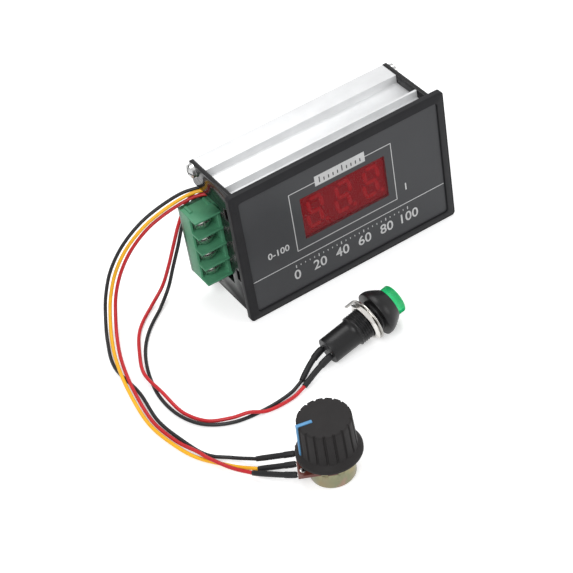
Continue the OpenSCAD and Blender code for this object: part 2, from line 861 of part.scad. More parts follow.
module terminal_block() {
    x1 = block_x + block_l;
    floor_y = block_y + pocket_depth;
    color([0.25, 0.6, 0.42]) at_body()
    difference() {
        union() {
            block([block_x, x1], [floor_y, power_y], [block_z, block_z + block_h]);
            for (i = [0 : poles]) {
                z = block_z + i * pole_pitch;
                block([block_x, block_x + fin_l], [block_y, floor_y + gap], [z, z + fin_t]);
            }
            block([block_x, block_x + fin_t], [floor_y - sill_h, floor_y + gap],
                [block_z, block_z + block_h]);
            block([block_x + pocket_l, block_x + fin_l], [block_y + fin_t, floor_y + gap],
                [block_z, block_z + block_h]);
            top_z = block_z + block_h;
            for (x = [block_x + rail_in, block_x + rail_in + rail_spacing]) {
                block([x, x + rail_w], [block_y + rail_front, block_y + rail_front + rail_l],
                    [top_z - gap, top_z + rail_h]);
            }
        }
        for (i = [0 : poles - 1]) {
            rod_y(clamp_x, floor_y - over, pole_z(i), clamp_shank_r + gap, clamp_bore_l + over);
            block([pin_x - pin_w / 2 - gap, pin_x + pin_w / 2 + gap], [floor_y - over, power_y + over],
                [pole_z(i) - pin_t / 2 - gap, pole_z(i) + pin_t / 2 + gap]);
        }
    }
}

module terminal_contacts() {
    floor_y = block_y + pocket_depth;
    color([0.8, 0.8, 0.78]) at_body()
    for (i = [0 : poles - 1]) {
        difference() {
            block([clamp_x - contact_l / 2, clamp_x + contact_l / 2 + over],
                [floor_y - contact_t, floor_y], [pole_z(i) - contact_w / 2, pole_z(i) + contact_w / 2]);
            rod_y(clamp_x, floor_y - contact_t - over, pole_z(i), clamp_shank_r + gap,
                contact_t + 2 * over);
        }
        block([pin_x - pin_w / 2, pin_x + pin_w / 2], [floor_y - gap, power_y],
            [pole_z(i) - pin_t / 2, pole_z(i) + pin_t / 2]);
    }
}

clamp_y = block_y + pocket_depth - contact_t - clamp_washer_t;

module clamp_washers() {
    color([0.85, 0.85, 0.84]) at_body()
    for (i = [0 : poles - 1]) {
        difference() {
            block([clamp_x - clamp_washer_w / 2, clamp_x + clamp_washer_w / 2],
                [clamp_y, clamp_y + clamp_washer_t],
                [pole_z(i) - clamp_washer_w / 2, pole_z(i) + clamp_washer_w / 2]);
            rod_y(clamp_x, clamp_y - over, pole_z(i), clamp_shank_r + gap, clamp_washer_t + 2 * over);
        }
    }
}

module clamp_screw(i) {
    color([0.85, 0.85, 0.84]) at_body() {
        difference() {
            rod_y(clamp_x, clamp_y - clamp_head_h, pole_z(i), clamp_head_d / 2, clamp_head_h);
            block([clamp_x - slot_w / 2, clamp_x + slot_w / 2],
                [clamp_y - clamp_head_h - over, clamp_y - clamp_head_h + slot_d],
                [pole_z(i) - clamp_head_d, pole_z(i) + clamp_head_d]);
        }
        rod_y(clamp_x, clamp_y - gap, pole_z(i), clamp_shank_r, clamp_shank_l);
    }
}

// Dial: a rotary control that stands on its can, with its lugs to local +X
module at_dial(z) {
    translate([dial_x, dial_y, z]) rotate([0, 0, dial_turn]) children();
}

board_z = can_h;
front_z = can_h + tag_board_t;

module dial_can() {
    color([0.72, 0.7, 0.48])
    at_dial(0) {
        rotate_extrude() polygon([
            [0, 0], [can_r - can_edge_r, 0],
            [can_r - can_edge_r * (1 - sin(45)), can_edge_r * (1 - cos(45))],
            [can_r, can_edge_r], [can_r, can_h], [can_r - can_wall, can_h],
            [can_r - can_wall, can_wall + can_edge_r], [can_r - can_wall - can_edge_r, can_wall],
            [0, can_wall]
        ]);
        for (turn = crimp_turns) {
            rotate([0, 0, turn]) {
                block([can_r - can_wall, can_r], [-crimp_w / 2, crimp_w / 2],
                    [can_h - can_wall, front_z + front_t + crimp_t]);
                block([can_r - crimp_l, can_r], [-crimp_w / 2, crimp_w / 2],
                    [front_z + front_t, front_z + front_t + crimp_t]);
            }
        }
    }
}

module crimp_cuts() {
    for (turn = crimp_turns) {
        rotate([0, 0, turn]) block([can_r - can_wall - gap, can_r + over],
            [-crimp_w / 2 - gap, crimp_w / 2 + gap], [can_h - over, front_z + front_t + gap]);
    }
}

module dial_tag_board() {
    color([0.4, 0.2, 0.16])
    at_dial(0) difference() {
        union() {
            translate([0, 0, board_z]) cylinder(r = can_r - gap, h = tag_board_t);
            block([0, tag_board_out], [-tag_board_w / 2, tag_board_w / 2], [board_z, board_z + tag_board_t]);
        }
        translate([0, 0, board_z - over]) cylinder(r = shaft_collar_r + gap, h = tag_board_t + 2 * over);
        for (i = [-1, 0, 1]) {
            translate([lug_in + lug_rivet_r, i * lug_pitch, board_z - over])
                cylinder(r = lug_shank_r + gap, h = tag_board_t + 2 * over);
        }
        crimp_cuts();
    }
}

module dial_track() {
    color([0.1, 0.1, 0.1])
    at_dial(0) difference() {
        translate([0, 0, board_z - track_t]) cylinder(r = track_r1, h = track_t);
        translate([0, 0, board_z - track_t - over]) cylinder(r = track_r0, h = track_t + 2 * over);
        block([0, can_r], [-wiper_w / 2, wiper_w / 2], [board_z - track_t - over, board_z + over]);
    }
}

module dial_lugs() {
    color([0.85, 0.85, 0.84])
    at_dial(0) for (i = [-1, 0, 1]) {
        block([lug_in, lug_out], [i * lug_pitch - lug_w / 2, i * lug_pitch + lug_w / 2],
            [board_z - lug_t, board_z]);
        translate([lug_in + lug_rivet_r, i * lug_pitch, board_z - gap])
            cylinder(r = lug_shank_r, h = tag_board_t + lug_rivet_h);
        translate([lug_in + lug_rivet_r, i * lug_pitch, front_z]) cylinder(r = lug_rivet_r, h = lug_rivet_h);
    }
}

module dial_front() {
    color([0.8, 0.8, 0.76])
    at_dial(0) difference() {
        union() {
            translate([0, 0, front_z]) cylinder(r = can_r - gap, h = front_t);
            translate([0, 0, front_z]) cylinder(r = bushing_d / 2, h = front_t + bushing_l);
        }
        translate([0, 0, front_z - over])
            cylinder(r = shaft_d / 2 + gap, h = front_t + bushing_l + 2 * over);
        block([lug_in - seat_gap, can_r + over], [-can_r, can_r],
            [front_z - over, front_z + front_t + over]);
        crimp_cuts();
    }
}

module dial_nut() {
    color([0.8, 0.8, 0.78])
    at_dial(front_z + front_t) difference() {
        cylinder(r = nut_af / 2 / cos(30), h = nut_t, $fn = 6);
        translate([0, 0, -over]) cylinder(r = bushing_d / 2 + gap, h = nut_t + 2 * over);
    }
}

shaft_z0 = front_z - gap - shaft_collar_t;

module dial_shaft() {
    color([0.75, 0.75, 0.75])
    at_dial(0) {
        translate([0, 0, front_z - gap]) cylinder(r = shaft_d / 2, h = shaft_l);
        translate([0, 0, shaft_z0]) cylinder(r = shaft_collar_r, h = shaft_collar_t);
    }
}

module dial_wiper() {
    wiper_z = board_z - track_t - wiper_gap - wiper_t;
    color([0.85, 0.7, 0.3])
    translate([dial_x, dial_y, 0]) rotate([0, 0, pointer_turn + 180]) {
        translate([0, 0, wiper_z]) cylinder(r = shaft_collar_r, h = shaft_z0 - wiper_z);
        block([0, wiper_r], [-wiper_w / 2, wiper_w / 2], [wiper_z, wiper_z + wiper_t]);
    }
}

// Knob: its grooves follow its taper
knob_taper = atan((knob_foot_d - knob_top_d) / 2 / (knob_h - skirt_h));

module knob() {
    body_z = skirt_h + skirt_slope;
    color([0.2, 0.2, 0.21])
    translate([dial_x, dial_y, knob_z]) rotate([0, 0, pointer_turn]) difference() {
        union() {
            cylinder(r = knob_skirt_d / 2, h = skirt_h);
            translate([0, 0, skirt_h])
                cylinder(r1 = knob_skirt_d / 2, r2 = knob_foot_d / 2, h = skirt_slope);
            difference() {
                translate([0, 0, skirt_h]) cylinder(r1 = knob_foot_d / 2, r2 = knob_top_d / 2,
                    h = knob_h - skirt_h);
                for (i = [0 : knob_grooves - 1]) {
                    rotate([0, 0, (i + 0.5) * 360 / knob_grooves])
                        translate([knob_foot_d / 2 + groove_out, 0, body_z]) rotate([0, -knob_taper, 0])
                            cylinder(r = groove_r, h = knob_h, $fn = 24);
                }
            }
        }
        translate([0, 0, -over]) cylinder(r = knob_foot_d / 2 - knob_wall, h = over + knob_cavity_h);
        translate([0, 0, -over]) cylinder(r = shaft_d / 2, h = over + front_z - gap + shaft_l - knob_z);
        pointer_solid();
    }
}

module pointer_solid() {
    top_r = knob_top_d / 2;
    side_z = skirt_h + skirt_slope;
    block([pointer_in, top_r + gap], [-pointer_w / 2, pointer_w / 2],
        [knob_h - pointer_up, knob_h + pointer_up]);
    translate([knob_foot_d / 2 - pointer_out, 0, side_z]) rotate([0, -knob_taper, 0])
        block([0, 2 * pointer_out], [-pointer_w / 2, pointer_w / 2],
            [0, (knob_h - side_z + pointer_up) / cos(knob_taper)]);
}

module knob_pointer() {
    color([0.35, 0.62, 0.85])
    translate([dial_x, dial_y, knob_z]) rotate([0, 0, pointer_turn]) pointer_solid();
}

// Push button, drawn along local Z from the end of its rear body
module at_button(s) {
    translate([button_x, button_y, button_z]) rotate([0, -button_tilt, button_turn]) rotate([0, 90, 0])
        translate([0, 0, s]) children();
}

function button_point(s, side, up) = let(ct = cos(button_tilt), st = sin(button_tilt),
    cu = cos(button_turn), su = sin(button_turn)) [
    button_x + s * ct * cu - side * su - up * st * cu,
    button_y + s * ct * su + side * cu - up * st * su,
    button_z + s * st + up * ct
];

module button_housing() {
    shoulder = collar_d / 2 - collar_lip_r;
    color([0.12, 0.12, 0.13])
    at_button(0) difference() {
        union() {
            cylinder(r = rear_d / 2, h = rear_l);
            translate([0, 0, rear_l - gap]) cylinder(r = thread_d / 2, h = thread_l + 2 * gap);
            translate([0, 0, collar_s]) rotate_extrude() polygon(concat([[0, 0]],
                [for (p = collar_shares) [collar_lip_r + shoulder * p[0], collar_l * p[1]]],
                [[0, collar_l]]));
        }
        translate([0, 0, -over]) cylinder(r = housing_bore_r, h = collar_s + collar_l + 2 * over);
        translate([0, 0, collar_s + collar_l - cap_skirt - cap_travel - cap_floor_gap])
            cylinder(r = collar_bore_r, h = cap_skirt + cap_travel + cap_floor_gap + over);
        for (side = [-1, 1]) {
            translate([side * (rear_d / 2 - flat_depth + rear_d / 2) - rear_d / 2, -rear_d / 2, flat_s])
                cube([rear_d, rear_d, flat_l]);
        }
    }
}

module button_nut() {
    color([0.88, 0.87, 0.84])
    at_button(collar_s - nut_clear - washer_t - gap - hex_t) difference() {
        cylinder(r = hex_af / 2 / cos(30), h = hex_t, $fn = 6);
        translate([0, 0, -over]) cylinder(r = thread_d / 2 + gap, h = hex_t + 2 * over);
    }
}

module button_washer() {
    color([0.88, 0.87, 0.84])
    at_button(collar_s - nut_clear - washer_t) {
        difference() {
            cylinder(r = washer_r, h = washer_t);
            translate([0, 0, -over]) cylinder(r = thread_d / 2 + gap, h = washer_t + 2 * over);
        }
        rotate([0, 0, ear_turn]) {
            block([washer_r - ear_t, washer_r + ear_t], [-ear_w / 2, ear_w / 2], [0, washer_t]);
            block([washer_r, washer_r + ear_t], [-ear_w / 2, ear_w / 2], [washer_t - ear_l, washer_t]);
        }
    }
}

module button_cap() {
    cap_l = cap_skirt + cap_out;
    color([0.1, 0.75, 0.4])
    at_button(collar_s + collar_l - cap_skirt) rotate_extrude() polygon([
        [0, 0], [cap_d / 2, 0], [cap_d / 2, cap_l - cap_edge],
        [cap_d / 2 - cap_edge * (1 - cos(45)), cap_l - cap_edge * (1 - sin(45))],
        [cap_d / 2 - cap_edge, cap_l], [0, cap_l]
    ]);
}

module button_plunger() {
    color([0.9, 0.9, 0.88])
    at_button(0) {
        translate([0, 0, plunger_s]) cylinder(r = plunger_r,
            h = collar_s + collar_l - cap_skirt - plunger_s);
        translate([0, 0, bar_s + contact_bar_t]) cylinder(r = stem_r,
            h = plunger_s - bar_s - contact_bar_t + gap);
    }
}

module button_contact() {
    color([0.85, 0.7, 0.3])
    at_button(bar_s) block([-contact_bar_w / 2, contact_bar_w / 2],
        [-contact_bar_l / 2, contact_bar_l / 2], [0, contact_bar_t]);
}

module blade(side) {
    y = side * terminal_offset;
    block([-terminal_w / 2, terminal_w / 2], [y - terminal_t / 2, y + terminal_t / 2],
        [-terminal_out, end_plug_t + gap]);
}

module button_terminals() {
    color([0.85, 0.85, 0.84])
    at_button(0) for (side = [-1, 1]) {
        blade(side);
        translate([0, side * terminal_offset, end_plug_t]) cylinder(r = stem_r, h = terminal_head_t);
    }
}

module button_end_plug() {
    color([0.15, 0.15, 0.15])
    at_button(0) difference() {
        cylinder(r = housing_bore_r - gap, h = end_plug_t);
        for (side = [-1, 1]) blade(side);
    }
}

// A tube of a given radius swept along a list of points, of flat triangles
function unit(v) = v / norm(v);
function heading(p, i) = unit(p[min(i + 1, len(p) - 1)] - p[max(i - 1, 0)]);
function ring(p, i, r, sides) =
    let(t = heading(p, i), n = unit(cross([0, 0, 1], t)), b = cross(t, n))
    [for (k = [0 : sides - 1]) p[i] + r * (cos(360 * k / sides) * n + sin(360 * k / sides) * b)];

module tube(p, r, sides) {
    rings = len(p);
    polyhedron(
        points = [for (i = [0 : rings - 1]) each ring(p, i, r, sides)],
        faces = concat(
            [for (i = [0 : rings - 2]) for (k = [0 : sides - 1])
                [i * sides + k, (i + 1) * sides + k, (i + 1) * sides + (k + 1) % sides]],
            [for (i = [0 : rings - 2]) for (k = [0 : sides - 1])
                [i * sides + k, (i + 1) * sides + (k + 1) % sides, i * sides + (k + 1) % sides]],
            [for (k = [1 : sides - 2]) [0, k, k + 1]],
            [for (k = [1 : sides - 2]) [(rings - 1) * sides, (rings - 1) * sides + k + 1,
                (rings - 1) * sides + k]]
        )
    );
}

module wire(route) {
    tube(route, wire_d / 2, 8);
}

spring_s0 = end_plug_t;
spring_s1 = bar_s;

function spring_points() = [
    for (i = [0 : spring_turns * spring_steps])
    let(a = 360 * i / spring_steps, rise = spring_s1 - spring_s0 - 2 * spring_wire_r)
    [spring_r * cos(a), spring_r * sin(a),
        spring_s0 + spring_wire_r + rise * i / (spring_turns * spring_steps)]
];

module button_spring() {
    color([0.7, 0.7, 0.7]) at_button(0) tube(spring_points(), spring_wire_r, 6);
}

// A sleeve is a tube over its lug or blade, and goes on as a straight rod to the end of its wire
module socket(r, bore_r, length) {
    difference() {
        cylinder(r = r, h = length + sleeve_d / 2);
        translate([0, 0, -over]) cylinder(r = bore_r, h = over + length + gap);
    }
}

module sleeve(start, stop) {
    lead = unit(stop - start);
    translate(start) rotate([0, acos(lead[2]), atan2(lead[1], lead[0])])
        cylinder(r = sleeve_d / 2, h = norm(stop - start) - sleeve_gap);
}

function lug_point(i) = [
    dial_x + (lug_out + sleeve_d / 2) * cos(dial_turn) - i * lug_pitch * sin(dial_turn),
    dial_y + (lug_out + sleeve_d / 2) * sin(dial_turn) + i * lug_pitch * cos(dial_turn),
    board_z - lug_t / 2
];

dial_ends = [black_route[len(black_route) - 1], yellow_route[len(yellow_route) - 1],
    red_route[len(red_route) - 1]];
button_ends = [button_black_route[len(button_black_route) - 1],
    button_red_route[len(button_red_route) - 1]];

module dial_sleeves() {
    color([0.1, 0.1, 0.1])
    for (i = [-1, 0, 1]) {
        at_dial(board_z - lug_t / 2) translate([tag_board_out + sleeve_start, i * lug_pitch, 0])
            rotate([0, 90, 0]) socket(lug_sleeve_r, lug_bore_r, lug_out - tag_board_out - sleeve_start);
        sleeve(lug_point(i), dial_ends[i + 1]);
    }
}

module button_sleeves() {
    color([0.1, 0.1, 0.1])
    for (i = [0, 1]) {
        side = (1 - 2 * i) * terminal_offset;
        at_button(-sleeve_start) translate([0, side, 0]) rotate([180, 0, 0])
            socket(blade_sleeve_r, blade_bore_r, terminal_out - sleeve_start);
        sleeve(button_point(-terminal_out - sleeve_d / 2, side, 0), button_ends[i]);
    }
}

front_bezel();
front_overlay();
display_window();
top_extrusion();
base_rail();
left_end_plate();
right_end_plate();
rear_sheet();
end_plate_screws();
power_board();
control_board();
board_screws();
link_pins();
link_blocks();
display_module();
display_segments();
transistor(transistor_x[0]);  // power_transistor_1
transistor(transistor_x[1]);  // power_transistor_2
transistor(transistor_x[2]);  // flyback_diode
insulating_pads();
tab_screws();
bulk_capacitors();
voltage_regulator();
microcontroller();
chip_resistors();
dial_plug();
button_plug();
terminal_block();
terminal_contacts();
clamp_washers();
clamp_screw(0);  // clamp_screw_1
clamp_screw(1);  // clamp_screw_2
clamp_screw(2);  // clamp_screw_3
clamp_screw(3);  // clamp_screw_4
dial_can();
dial_tag_board();
dial_track();
dial_lugs();
dial_front();
dial_nut();
dial_shaft();
dial_wiper();
knob();
knob_pointer();
button_housing();
button_nut();
button_washer();
button_cap();
button_plunger();
button_spring();
button_contact();
button_terminals();
button_end_plug();
color([0.93, 0.75, 0.15]) wire(yellow_route);  // dial_wire_yellow
color([0.75, 0.15, 0.18]) wire(red_route);  // dial_wire_red
color([0.1, 0.1, 0.1]) wire(black_route);  // dial_wire_black
color([0.75, 0.15, 0.18]) wire(button_red_route);  // button_wire_red
color([0.1, 0.1, 0.1]) wire(button_black_route);  // button_wire_black
dial_sleeves();
button_sleeves();
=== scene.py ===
import bpy
import bmesh
import functools
import math
from mathutils import Matrix, Vector


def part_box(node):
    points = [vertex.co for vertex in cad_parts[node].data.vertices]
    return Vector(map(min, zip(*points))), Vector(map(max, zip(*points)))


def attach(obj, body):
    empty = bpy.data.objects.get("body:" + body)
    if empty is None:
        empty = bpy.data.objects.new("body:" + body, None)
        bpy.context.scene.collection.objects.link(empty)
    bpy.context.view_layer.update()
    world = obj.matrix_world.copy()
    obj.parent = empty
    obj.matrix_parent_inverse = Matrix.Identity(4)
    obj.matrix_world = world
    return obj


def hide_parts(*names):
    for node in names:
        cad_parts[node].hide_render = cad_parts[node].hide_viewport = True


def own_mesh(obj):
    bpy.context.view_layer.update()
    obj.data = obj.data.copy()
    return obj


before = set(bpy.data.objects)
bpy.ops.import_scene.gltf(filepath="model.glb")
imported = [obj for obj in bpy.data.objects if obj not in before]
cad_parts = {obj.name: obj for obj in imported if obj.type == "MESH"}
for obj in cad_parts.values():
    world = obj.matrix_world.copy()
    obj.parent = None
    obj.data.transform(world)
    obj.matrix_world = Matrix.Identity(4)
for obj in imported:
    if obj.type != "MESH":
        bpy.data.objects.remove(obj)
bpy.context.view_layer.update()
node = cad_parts


# The controller stands on a white table with its dial and push button laid out in front of it,
# seen from above and to its left through a long lens, in soft light from all round.
def feed(t, n, inputs):
    """Gives a node its inputs: another node or one of its outputs is linked, and a value is set."""
    for key, value in inputs.items() if isinstance(inputs, dict) else enumerate(inputs):
        if isinstance(value, bpy.types.Node):
            value = value.outputs[0]
        if isinstance(value, bpy.types.NodeSocket):
            t.links.new(value, n.inputs[key])
        else:
            n.inputs[key].default_value = value
    return n


def add(t, kind, inputs=(), **settings):
    """A new node in a tree, with its own settings and its inputs."""
    n = t.nodes.new(kind)
    for key, value in settings.items():
        setattr(n, key, value)
    return feed(t, n, inputs)


def put_in(name, data):
    """An object that is put in the scene."""
    thing = bpy.data.objects.new(name, data)
    bpy.context.scene.collection.objects.link(thing)
    return thing


right = Vector((0.833197, -0.535863, -0.136507))
up = Vector((0.444728, 0.502646, 0.741326))
back = Vector((-0.328634, -0.678379, 0.657116))
eye = Vector((-0.266944, -0.490252, 0.480737))
lens = bpy.data.cameras.new("view")
lens.sensor_width, lens.lens = 36, 120.089
lens.clip_start, lens.clip_end = 0.02, 20
camera = put_in("view", lens)
camera.matrix_world = Matrix([(*way, 0) for way in (right, up, back)] + [(*eye, 1)]).transposed()
bpy.context.scene.camera = camera
bpy.context.scene.view_settings.view_transform = "Standard"


def seen_share(t):
    """1 where the eye sees a thing straight, in a reflection or through something clear, else 0."""
    ray = add(t, "ShaderNodeLightPath").outputs
    seen = ray["Is Camera Ray"]
    for way in ("Is Glossy Ray", "Is Transmission Ray"):
        seen = add(t, "ShaderNodeMath", [seen, ray[way]], operation="MAXIMUM")
    return seen


daylight, white = 0.42, (1, 1, 1, 1)
sky = bpy.data.worlds.new("daylight")
bpy.context.scene.world = sky
sky.use_nodes = True
air = sky.node_tree
air.nodes.clear()
soft = add(air, "ShaderNodeBackground", {"Color": (0.97, 0.98, 1, 1), "Strength": daylight})
plain_white = add(air, "ShaderNodeBackground", {"Color": white, "Strength": 1})
mix = add(air, "ShaderNodeMixShader", [seen_share(air), soft, plain_white])
add(air, "ShaderNodeOutputWorld", {"Surface": mix})

aim = Vector((0, -0.02, 0.02))
for name, place, size, watts in (
    ("window light", (-0.55, -0.5, 0.75), 0.55, 5.4),
    ("ceiling light", (0.15, 0.25, 0.9), 0.6, 4.2),
    ("fill light", (0.6, -0.6, 0.4), 0.5, 2.0),
):
    lamp = bpy.data.lights.new(name, "AREA")
    lamp.shape, lamp.size, lamp.energy = "DISK", size, watts
    light = put_in(name, lamp)
    light.location = place
    light.rotation_euler = (aim - Vector(place)).to_track_quat("-Z", "Y").to_euler()

reach, below = 3, -0.0004
table_mesh = bpy.data.meshes.new("table")
table_mesh.from_pydata([(-reach, -reach, below), (reach, -reach, below), (reach, reach, below),
                        (-reach, reach, below)], [], [(0, 1, 2, 3)])
table = put_in("table", table_mesh)
paint = bpy.data.materials.new("white table")
paint.use_nodes = True
table_mesh.materials.append(paint)
coats = paint.node_tree
coats.nodes.clear()
matt = add(coats, "ShaderNodeBsdfDiffuse", {"Color": (0.82, 0.82, 0.82, 1)})
glow = add(coats, "ShaderNodeEmission", {"Color": white, "Strength": daylight})
both = add(coats, "ShaderNodeAddShader", [matt, glow])
pick = add(coats, "ShaderNodeMixShader", [seen_share(coats), matt, both])
add(coats, "ShaderNodeOutputMaterial", {"Surface": pick})


# ---------------------------------------------------------------- Wires
# Five thin PVC-covered wires leave two plugs inside the box by the gap over the terminal block.
# Three go to the dial and two to the push button, limp, laid in one loose sweep on the table.
def surface(name, colour, rough, metal=0.0, drift=0.08, grain=900.0, relief=0.1, stretch=(1, 1, 1),
            spread=0.06, mirror=0.5):
    """A finish whose colour, gloss and relief all wander a little over the piece."""
    m = bpy.data.materials.new(name)
    m.use_nodes = True
    t = m.node_tree
    shader = t.nodes["Principled BSDF"]
    where = add(t, "ShaderNodeTexCoord").outputs["Object"]
    drawn = add(t, "ShaderNodeMapping", {"Vector": where, "Scale": stretch})
    fine = add(t, "ShaderNodeTexNoise", {"Vector": drawn, "Scale": grain, "Detail": 4})
    wide = add(t, "ShaderNodeTexNoise", {"Vector": where, "Scale": grain / 9, "Detail": 3})
    tint = add(t, "ShaderNodeValToRGB", [wide])
    for stop, at, way in zip(tint.color_ramp.elements, (0.3, 0.7), (-1, 1)):
        stop.position = at
        stop.color = [min(1, c * (1 + way * drift)) for c in colour] + [1]
    gloss = add(t, "ShaderNodeMapRange", {
        "Value": fine, "To Min": max(0.02, rough - spread), "To Max": rough + spread})
    bump = add(t, "ShaderNodeBump", {"Strength": relief, "Distance": 0.0001, "Height": fine})
    feed(t, shader, {"Metallic": metal, "Specular IOR Level": mirror, "Base Color": tint,
                     "Roughness": gloss, "Normal": bump})
    return m


def joined(name, mesh, finish, slot, *replaced, body="controller"):
    """A finished mesh becomes a piece that rides on a body."""
    piece = put_in(name, mesh)
    mesh.materials.clear()
    mesh.materials.append(finish)
    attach(piece, body)
    if replaced:
        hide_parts(*replaced)
    return piece


def plain(name, b):
    """What is built face by face becomes a plain mesh."""
    mesh = bpy.data.meshes.new(name)
    b.to_mesh(mesh)
    b.free()
    return mesh


pvc = {
    "yellow": surface("yellow PVC", (0.87, 0.44, 0.012), 0.38, relief=0.06, mirror=0.35),
    "red": surface("red PVC", (0.5, 0.012, 0.018), 0.38, relief=0.06, mirror=0.35),
    "black": surface("black PVC", (0.009, 0.009, 0.01), 0.4, relief=0.06, mirror=0.3),
}
shrink = surface("heat-shrink sleeve", (0.009, 0.009, 0.01), 0.5, grain=1500, relief=0.3, mirror=0.25)

wire_across = 0.0014
# Each wire is laid through these points, in millimetres. Its length is in metres.
wire_route = {
    "dial_wire_yellow": [
        (-30.15, 21.2, 45.3), (-37.75, 22, 45.4), (-45.35, 26.2, 45.4), (-51.4, 28.6, 43.9),
        (-60, 30, 41.3), (-68, 31.5, 37.2), (-76, 32.8, 30.5), (-82, 33.8, 22), (-86, 34, 13),
        (-89.2, 31.8, 6), (-94, 23.5, 1.5), (-99, 10, 2.2), (-103, -7, 2), (-104.8, -24, 0.7),
        (-103, -38.5, 0.7), (-99.4, -50, 0.7), (-92, -61.2, 0.7), (-86.2, -69.5, 2.2)],
    "dial_wire_red": [
        (-30.15, 21.2, 43.4), (-37.75, 21.8, 43.5), (-45.15, 25.9, 43.6), (-51.1, 28.3, 42.1),
        (-59.5, 29.9, 39.5), (-67.2, 31.3, 35.5), (-74.7, 32.4, 29), (-80.3, 33.2, 21),
        (-84.3, 33.3, 12.4), (-87.4, 30.9, 5.6), (-92.2, 22.5, 1.5), (-97.2, 9.4, 1.9),
        (-101.3, -7.3, 2.3), (-103.1, -24, 0.7), (-101.4, -38, 0.9), (-98.6, -48.5, 2.2),
        (-97.2, -53.8, 2.3), (-93, -62.6, 1.6), (-88.8, -69.8, 2.2)],
    "dial_wire_black": [
        (-30.15, 21.2, 47.2), (-37.75, 23.2, 46.8), (-45.05, 27.8, 45.7), (-51.3, 30.2, 44.8),
        (-60.4, 31.5, 42.4), (-68.9, 32.9, 38.2), (-77.2, 34.1, 31.3), (-83.6, 35, 22.4),
        (-87.7, 35, 13), (-90.9, 32.5, 5.8), (-95.6, 24.2, 0.8), (-100.2, 10, 0.7),
        (-99.6, -7.5, 0.7), (-101.4, -24, 0.7), (-99.8, -37.5, 0.7), (-96.4, -50.4, 0.7),
        (-89.6, -58.1, 0.7), (-84.3, -65, 2.2)],
    "button_wire_black": [
        (-36.05, 24.5, 42.7), (-40.75, 26, 42.6), (-44.75, 28.8, 41.4), (-48.4, 30, 37.5),
        (-53, 30.3, 30.5), (-56.3, 30.9, 21.8), (-60, 31.4, 13), (-64.2, 30.8, 5), (-71.5, 26.4, 0.9),
        (-80.5, 18.8, 0.7), (-87.2, 9.8, 0.7), (-92.2, -2, 0.7), (-94.9, -15, 0.7), (-94, -27.5, 0.7),
        (-89.2, -37.3, 0.7), (-80, -43.4, 0.7), (-68, -45.2, 0.7), (-57.55, -44.5, 0.8),
        (-50.9, -42.6, 1.7)],
    "button_wire_red": [
        (-36.05, 24.5, 44.6), (-40.75, 25.9, 44.4), (-45.55, 29.1, 43.3), (-49.9, 30.4, 38.7),
        (-54.2, 30.8, 31.3), (-58, 31.4, 22.4), (-61.7, 32, 13.5), (-65.9, 32.4, 5.6),
        (-73.6, 29.7, 1.1), (-82.8, 21.8, 0.8), (-89.1, 11, 0.8), (-93.8, -1.5, 2.1),
        (-93.6, -14.5, 2.4), (-92.3, -27, 0.7), (-87.9, -36.1, 0.7), (-80.5, -41.4, 1.4),
        (-74.5, -44.3, 2.5), (-68, -46.9, 1.2), (-58.05, -46.9, 0.8), (-51.7, -45.6, 1.7)],
}

# The heat-shrink sleeves cover each soldered joint, from the root of a lug or of a blade, over its
# end, to a little way along its wire. Each follows three points: root, bend and the wire's end.
dial_spot, dial_lead, lug_step, lug_high = Vector((-66, -85.3, 0)), math.radians(152), 5, 6.4
lug_root, lug_end = 12, 14.6
button_spot = Vector((-0.0369, -0.0393, 0))
rear_r, collar_r, collar_start = 0.0052, 0.009, 0.0225
tilt = math.atan((collar_r - rear_r) / collar_start)
button_frame = (Matrix.Translation(button_spot + Vector((0, 0, rear_r * math.cos(tilt))))
                @ Matrix.Rotation(math.radians(3.6), 4, "Z") @ Matrix.Rotation(-tilt, 4, "Y")
                @ Matrix.Rotation(math.pi / 2, 4, "Y"))


def lug_spot(out, along):
    """A point on the dial's lugs: so far out along them and so far across them."""
    way = Vector((math.cos(dial_lead), math.sin(dial_lead), 0))
    across = Vector((-way.y, way.x, 0))
    return (dial_spot + way * out + across * along + Vector((0, 0, lug_high))) / 1000


sleeve_across, sleeve_wall, sleeve_from = {"dial": 0.00232, "button": 0.0027}, 0.00025, {}
for colour, along in (("yellow", 0), ("red", lug_step), ("black", -lug_step)):
    sleeve_from["dial_wire_" + colour] = lug_spot(lug_root, along), lug_spot(lug_end, along)
blade_side, blade_root, blade_end = 0.0026, -0.0002, -0.0052
for colour, side in (("black", blade_side), ("red", -blade_side)):
    sleeve_from["button_wire_" + colour] = [
        button_frame @ Vector((0, side, s)) for s in (blade_root, blade_end)]


def sleeve(name, root, bend, stop, across, lap=0.6):
    """A short tube of soft plastic that turns from a lug to its wire and is shrunk onto both."""
    b = bmesh.new()
    count, sides, rows = 28, 20, []
    for k in range(count + 1):
        share = k / count
        first, last = (1 - share) ** 2, share ** 2
        middle = 1 - first - last
        at = root * first + bend * middle + stop * last
        lead = (bend - root) * (1 - share) + (stop - bend) * share
        turn = lead.to_track_quat("Z", "Y").to_matrix()
        lip = min(1, 0.84 + 1.6 * share, 1 - 0.9 * max(0, share - 0.9))
        full = across
        if share > 0.45:
            full = across * (1 - lap) + (wire_across + 2 * sleeve_wall) * lap
        rim = Vector((lip * full / 2, 0, 0))
        rows.append([b.verts.new(at + turn @ Matrix.Rotation(math.tau * n / sides, 3, "Z") @ rim)
                     for n in range(sides)])
    for low, high in zip(rows, rows[1:]):
        for n in range(sides):
            b.faces.new((low[n], low[(n + 1) % sides], high[(n + 1) % sides], high[n])).smooth = True
    b.faces.new(list(reversed(rows[0])))
    b.faces.new(rows[-1])
    return plain(name, b)


